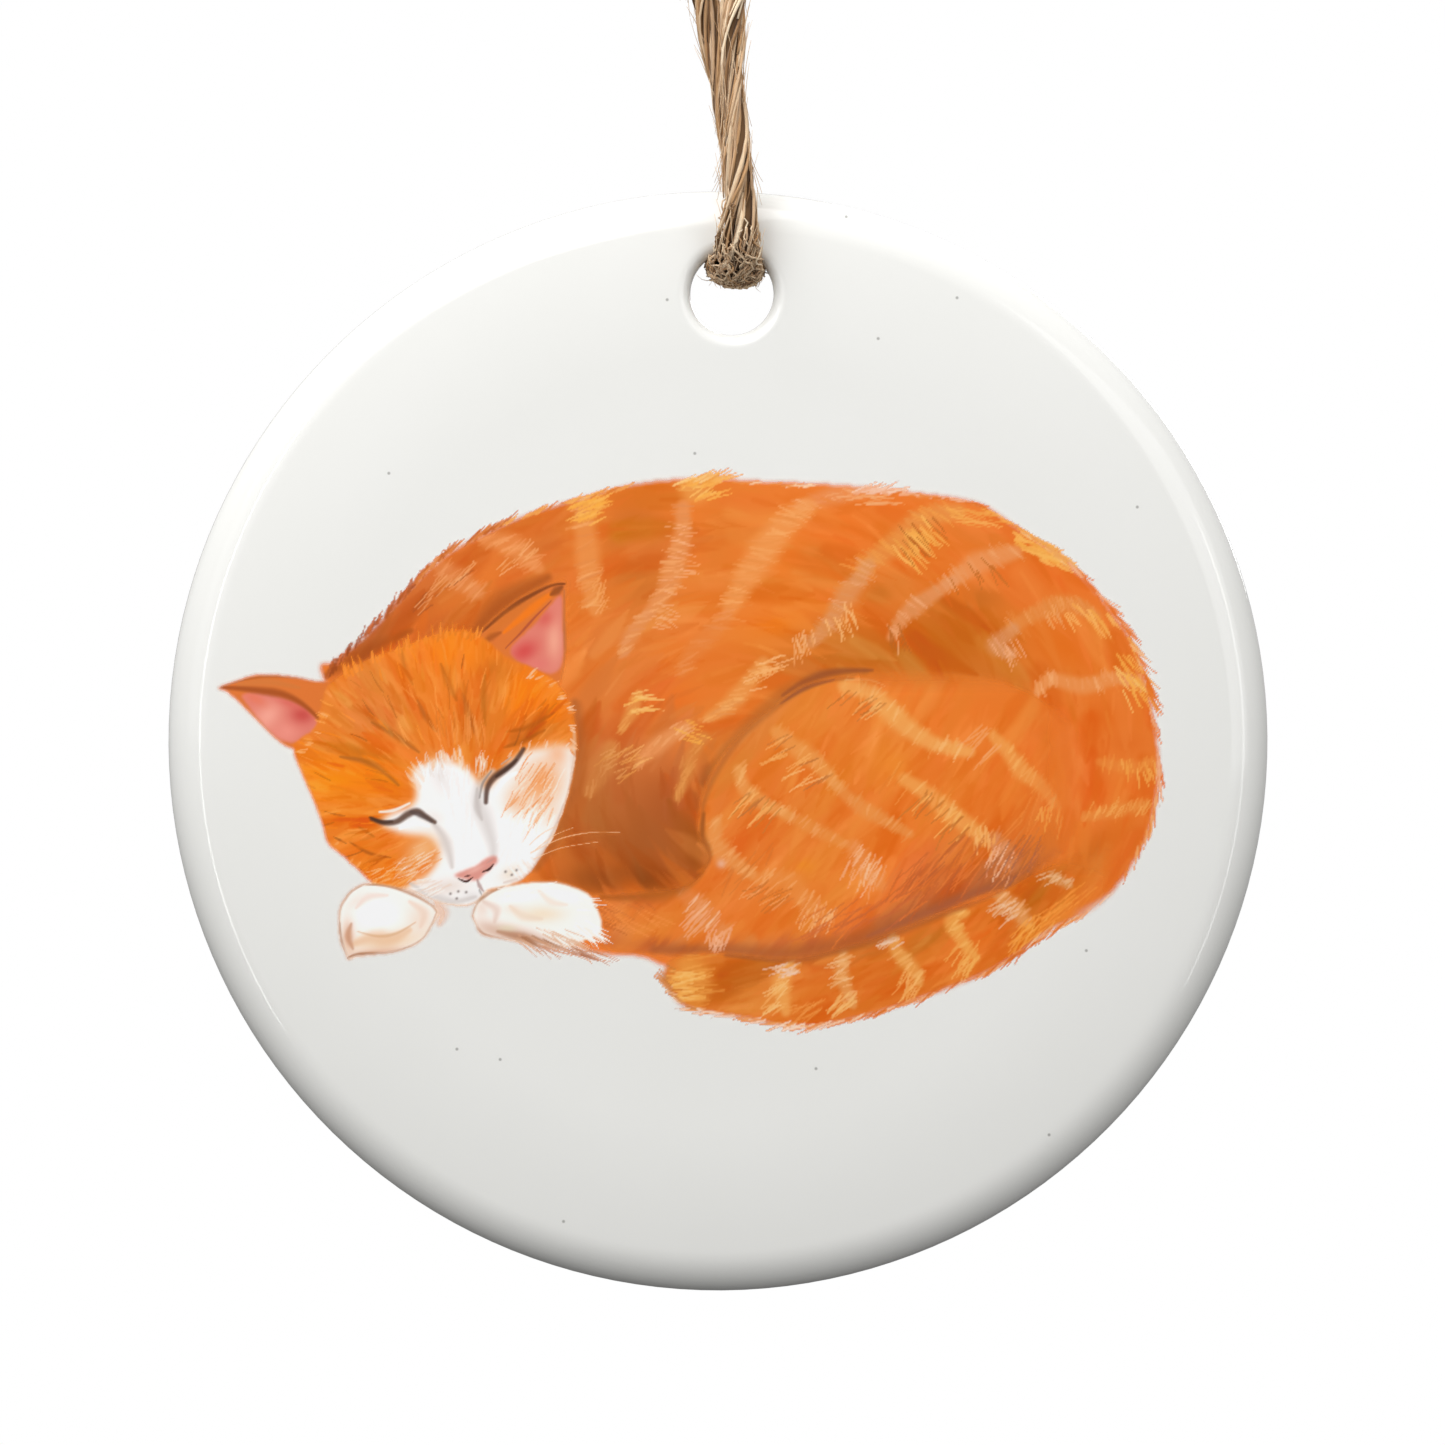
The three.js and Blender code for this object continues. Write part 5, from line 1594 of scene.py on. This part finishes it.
class ORNAMENT_OT_knot(bpy.types.Operator):
    """Adds the overhand knot tied in both strands"""

    bl_idname = "ornament.knot"
    bl_label = "Knot"

    def execute(self, context):
        settings = context.scene.ornament_twine
        chance = np.random.RandomState(6)
        fibres = Fibres("jute_knot", settings)
        for side in (1, -1):
            core = Core([Vector(middle) + side * Vector(away) for middle, away in KNOT_ROUTE])
            for ply in range(3):
                lay_ply(fibres, core, settings, chance, ply * math.tau / 3, usual_shades, bundles=15)
            stray_hairs(fibres, core, settings, chance, count=90, length=3.0, reach=0.9)
        piece = link_mesh("jute_knot", fibres.mesh(), "twine")
        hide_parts("twine_knot")
        return {"FINISHED"}


class ORNAMENT_OT_tails(bpy.types.Operator):
    """Adds the two frayed ends of the twine above the knot"""

    bl_idname = "ornament.tails"
    bl_label = "Twine Ends"

    def execute(self, context):
        settings = context.scene.ornament_twine
        chance = np.random.RandomState(8)
        for side, route in (("right", RIGHT_TAIL), ("left", LEFT_TAIL)):
            core = Core(route)

            def fray(along, end=core.length, run=3.4):
                """The plies open towards the cut end."""
                opening = 1 + 0.9 * np.clip((along - end + run) / run, 0, 1) ** 1.5
                return opening, opening

            core.swell = fray
            fibres = Fibres("jute_tail_" + side, settings)
            for ply in range(3):
                lay_ply(fibres, core, settings, chance, ply * math.tau / 3, usual_shades,
                        span=(0, core.length - 0.8), bundles=16)
                for _ in range(16):
                    first = core.length - chance.uniform(2.5, 5)
                    along = np.linspace(first, core.length - chance.uniform(-0.2, 1.2), 6)
                    angle = ply * math.tau / 3 + chance.normal(0, 0.7) + math.tau / settings.lay * along
                    out = settings.radius * chance.uniform(0.3, 1)
                    radii = chance.uniform(0.05, 0.1) * np.linspace(1, 0.5, 6)
                    fibres.add(core.around(along, out, angle), radii, pick(chance, usual_shades(0)))
            stray_hairs(fibres, core, settings, chance, count=70, length=3.0, reach=1.0)
            piece = link_mesh("jute_tail_" + side, fibres.mesh(), "twine")
            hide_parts("twine_tail_" + side)
        route = loop_route()
        length = Core(route).length
        path = [tuple(c * MM for c in point) for point in route]
        return {"FINISHED"}


class ORNAMENT_OT_disc(bpy.types.Operator):
    """Adds the glazed ceramic disc"""

    bl_idname = "ornament.disc"
    bl_label = "Glazed Disc"

    def execute(self, context):
        settings = context.scene.ornament_disc
        mesh = disc_mesh(settings)
        mesh.materials.append(glaze_material(settings))
        piece = link_mesh("glazed_disc", mesh, "disc")
        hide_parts("ceramic_disc")
        return {"FINISHED"}


class ORNAMENT_OT_print(bpy.types.Operator):
    """Paints the sleeping cat in layers of ink: back, haunch, tail and head"""

    bl_idname = "ornament.print"
    bl_label = "Printed Cat"

    def execute(self, context):
        settings = context.scene.ornament_print
        material = ink_material()
        canvases = {
            "print_back": paint_back(settings.cell),
            "print_haunch": paint_haunch(settings.cell),
            "print_tail": paint_tail(settings.cell),
            "print_head": paint_head(settings.fine_cell),
        }
        names = list(canvases)
        for i, name in enumerate(names):
            above = [canvases[other] for other in names[i + 1:]]
            mesh = ink_mesh(name, canvases[name], settings.lift + i * settings.layer, settings, above)
            mesh.materials.append(material)
            piece = link_mesh(name, mesh, "disc")
            # ink is too thin to shade the glaze, so its soft edges have no dark line round them
            piece.visible_shadow = False
            piece.visible_diffuse = False
            piece.visible_glossy = False
            if i == 0:
                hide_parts("cat_print")
        return {"FINISHED"}


def area_light(name, place, target, size, power):
    """A soft light of a width and a height, facing a target. The camera doesn't see it."""
    data = bpy.data.lights.new(name, "AREA")
    data.shape = "RECTANGLE"
    data.size, data.size_y = size
    data.energy = power
    light = bpy.data.objects.new(name, data)
    bpy.context.collection.objects.link(light)
    light.location = place
    light.rotation_euler = (target - Vector(place)).to_track_quat("-Z", "Y").to_euler()
    light.visible_camera = False


class ORNAMENT_OT_stage(bpy.types.Operator):
    """Adds the floor, the studio lights and the white surroundings"""

    bl_idname = "ornament.stage"
    bl_label = "Stage"

    def execute(self, context):
        stage = context.scene.ornament_stage
        bm = bmesh.new()
        bmesh.ops.create_circle(bm, cap_ends=True, segments=96, radius=stage.floor_radius,
                                matrix=Matrix.Translation((0, 0, stage.floor_height)))
        floor = bpy.data.objects.new("floor", finish_mesh(bm, "floor", False))
        context.collection.objects.link(floor)
        material, nodes = new_material("floor_paper")
        shader = nodes.add("ShaderNodeBsdfPrincipled", {"Base Color": (0.85, 0.85, 0.84, 1),
                                                        "Roughness": 0.8})
        nodes.add("ShaderNodeOutputMaterial", {"Surface": shader})
        floor.data.materials.append(material)
        floor.visible_diffuse = False
        floor.visible_glossy = False
        floor.visible_shadow = False

        middle = Vector((0, 0, DISC_CENTRE_Z))
        area_light("key", (-0.085, -0.15, 0.1), middle, size=(0.22, 0.22), power=0.45)
        area_light("fill", (0.3, -0.4, 0.05), middle, size=(0.3, 0.3), power=0.4)
        area_light("left_fill", (-0.3, -0.4, 0.05), middle, size=(0.3, 0.3), power=0.18)
        area_light("back", (0.3, 0.7, 0.25), middle, size=(0.4, 0.4), power=3)
        reach = 0.75
        for name, degrees, width in (("left_strip", -28, 0.02), ("right_strip", 43, 0.05)):
            turn = math.radians(degrees)
            place = middle + Vector((reach * math.sin(turn), -reach * math.cos(turn), 0))
            area_light(name, place, middle, size=(width, 0.5), power=0.26)

        world = bpy.data.worlds.new("studio")
        world.use_nodes = True
        context.scene.world = world
        nodes = Nodes(world.node_tree)
        ways = nodes.add("ShaderNodeSeparateXYZ",
                         {"Vector": nodes.add("ShaderNodeTexCoord", output="Generated")}, output="X")
        front = Value(nodes, ways.socket.node.outputs["Y"])
        height = Value(nodes, ways.socket.node.outputs["Z"])
        greys = ((0.0, 0.11), (0.32, 0.17), (0.5, 0.37), (0.72, 0.72), (1.0, 0.98))
        light = nodes.add("ShaderNodeValToRGB", {"Fac": height * 0.5 + 0.5},
                          stops=[(position, (grey,) * 3) for position, grey in greys])
        straight = nodes.add("ShaderNodeMapRange", {"Value": 0 - front, "From Min": 0.9, "From Max": 0.995,
                                                    "To Min": 1, "To Max": 0.4})
        lit = nodes.add("ShaderNodeBackground", {"Color": light, "Strength": straight * (1 - 0.12 * ways)})
        white = nodes.add("ShaderNodeBackground", {"Color": (1, 1, 1, 1), "Strength": 1.0})
        seen = nodes.add("ShaderNodeLightPath", output="Is Camera Ray")
        nodes.add("ShaderNodeOutputWorld",
                  {"Surface": nodes.add("ShaderNodeMixShader", {"Fac": seen, 1: lit, 2: white})})
        context.scene.view_settings.view_transform = "Standard"
        return {"FINISHED"}


OPERATORS = (
    ORNAMENT_OT_camera,
    ORNAMENT_OT_loop,
    ORNAMENT_OT_knot,
    ORNAMENT_OT_tails,
    ORNAMENT_OT_disc,
    ORNAMENT_OT_print,
    ORNAMENT_OT_stage,
)
SETTINGS = {
    "ornament_disc": DiscSettings,
    "ornament_print": PrintSettings,
    "ornament_twine": TwineSettings,
    "ornament_stage": StageSettings,
}


class ORNAMENT_PT_panel(bpy.types.Panel):
    """Lists the settings and the operators"""

    bl_idname = "ORNAMENT_PT_panel"
    bl_label = "Ceramic Ornament"
    bl_space_type = "VIEW_3D"
    bl_region_type = "UI"
    bl_category = "Ornament"

    def draw(self, context):
        for name, group in SETTINGS.items():
            box = self.layout.box()
            settings = getattr(context.scene, name)
            for field in group.__annotations__:
                box.prop(settings, field)
        for operator in OPERATORS:
            self.layout.operator(operator.bl_idname)


CLASSES = (*SETTINGS.values(), *OPERATORS, ORNAMENT_PT_panel)


def register():
    for made in CLASSES:
        bpy.utils.register_class(made)
    for name, group in SETTINGS.items():
        setattr(bpy.types.Scene, name, PointerProperty(type=group))


def unregister():
    for name in SETTINGS:
        delattr(bpy.types.Scene, name)
    for made in reversed(CLASSES):
        bpy.utils.unregister_class(made)


def main():
    """Builds the ornament."""
    register()
    bpy.ops.ornament.camera()
    bpy.ops.ornament.loop()
    bpy.ops.ornament.knot()
    bpy.ops.ornament.tails()
    bpy.ops.ornament.disc()
    bpy.ops.ornament.print()
    bpy.ops.ornament.stage()


if __name__ == "__main__":
    main()
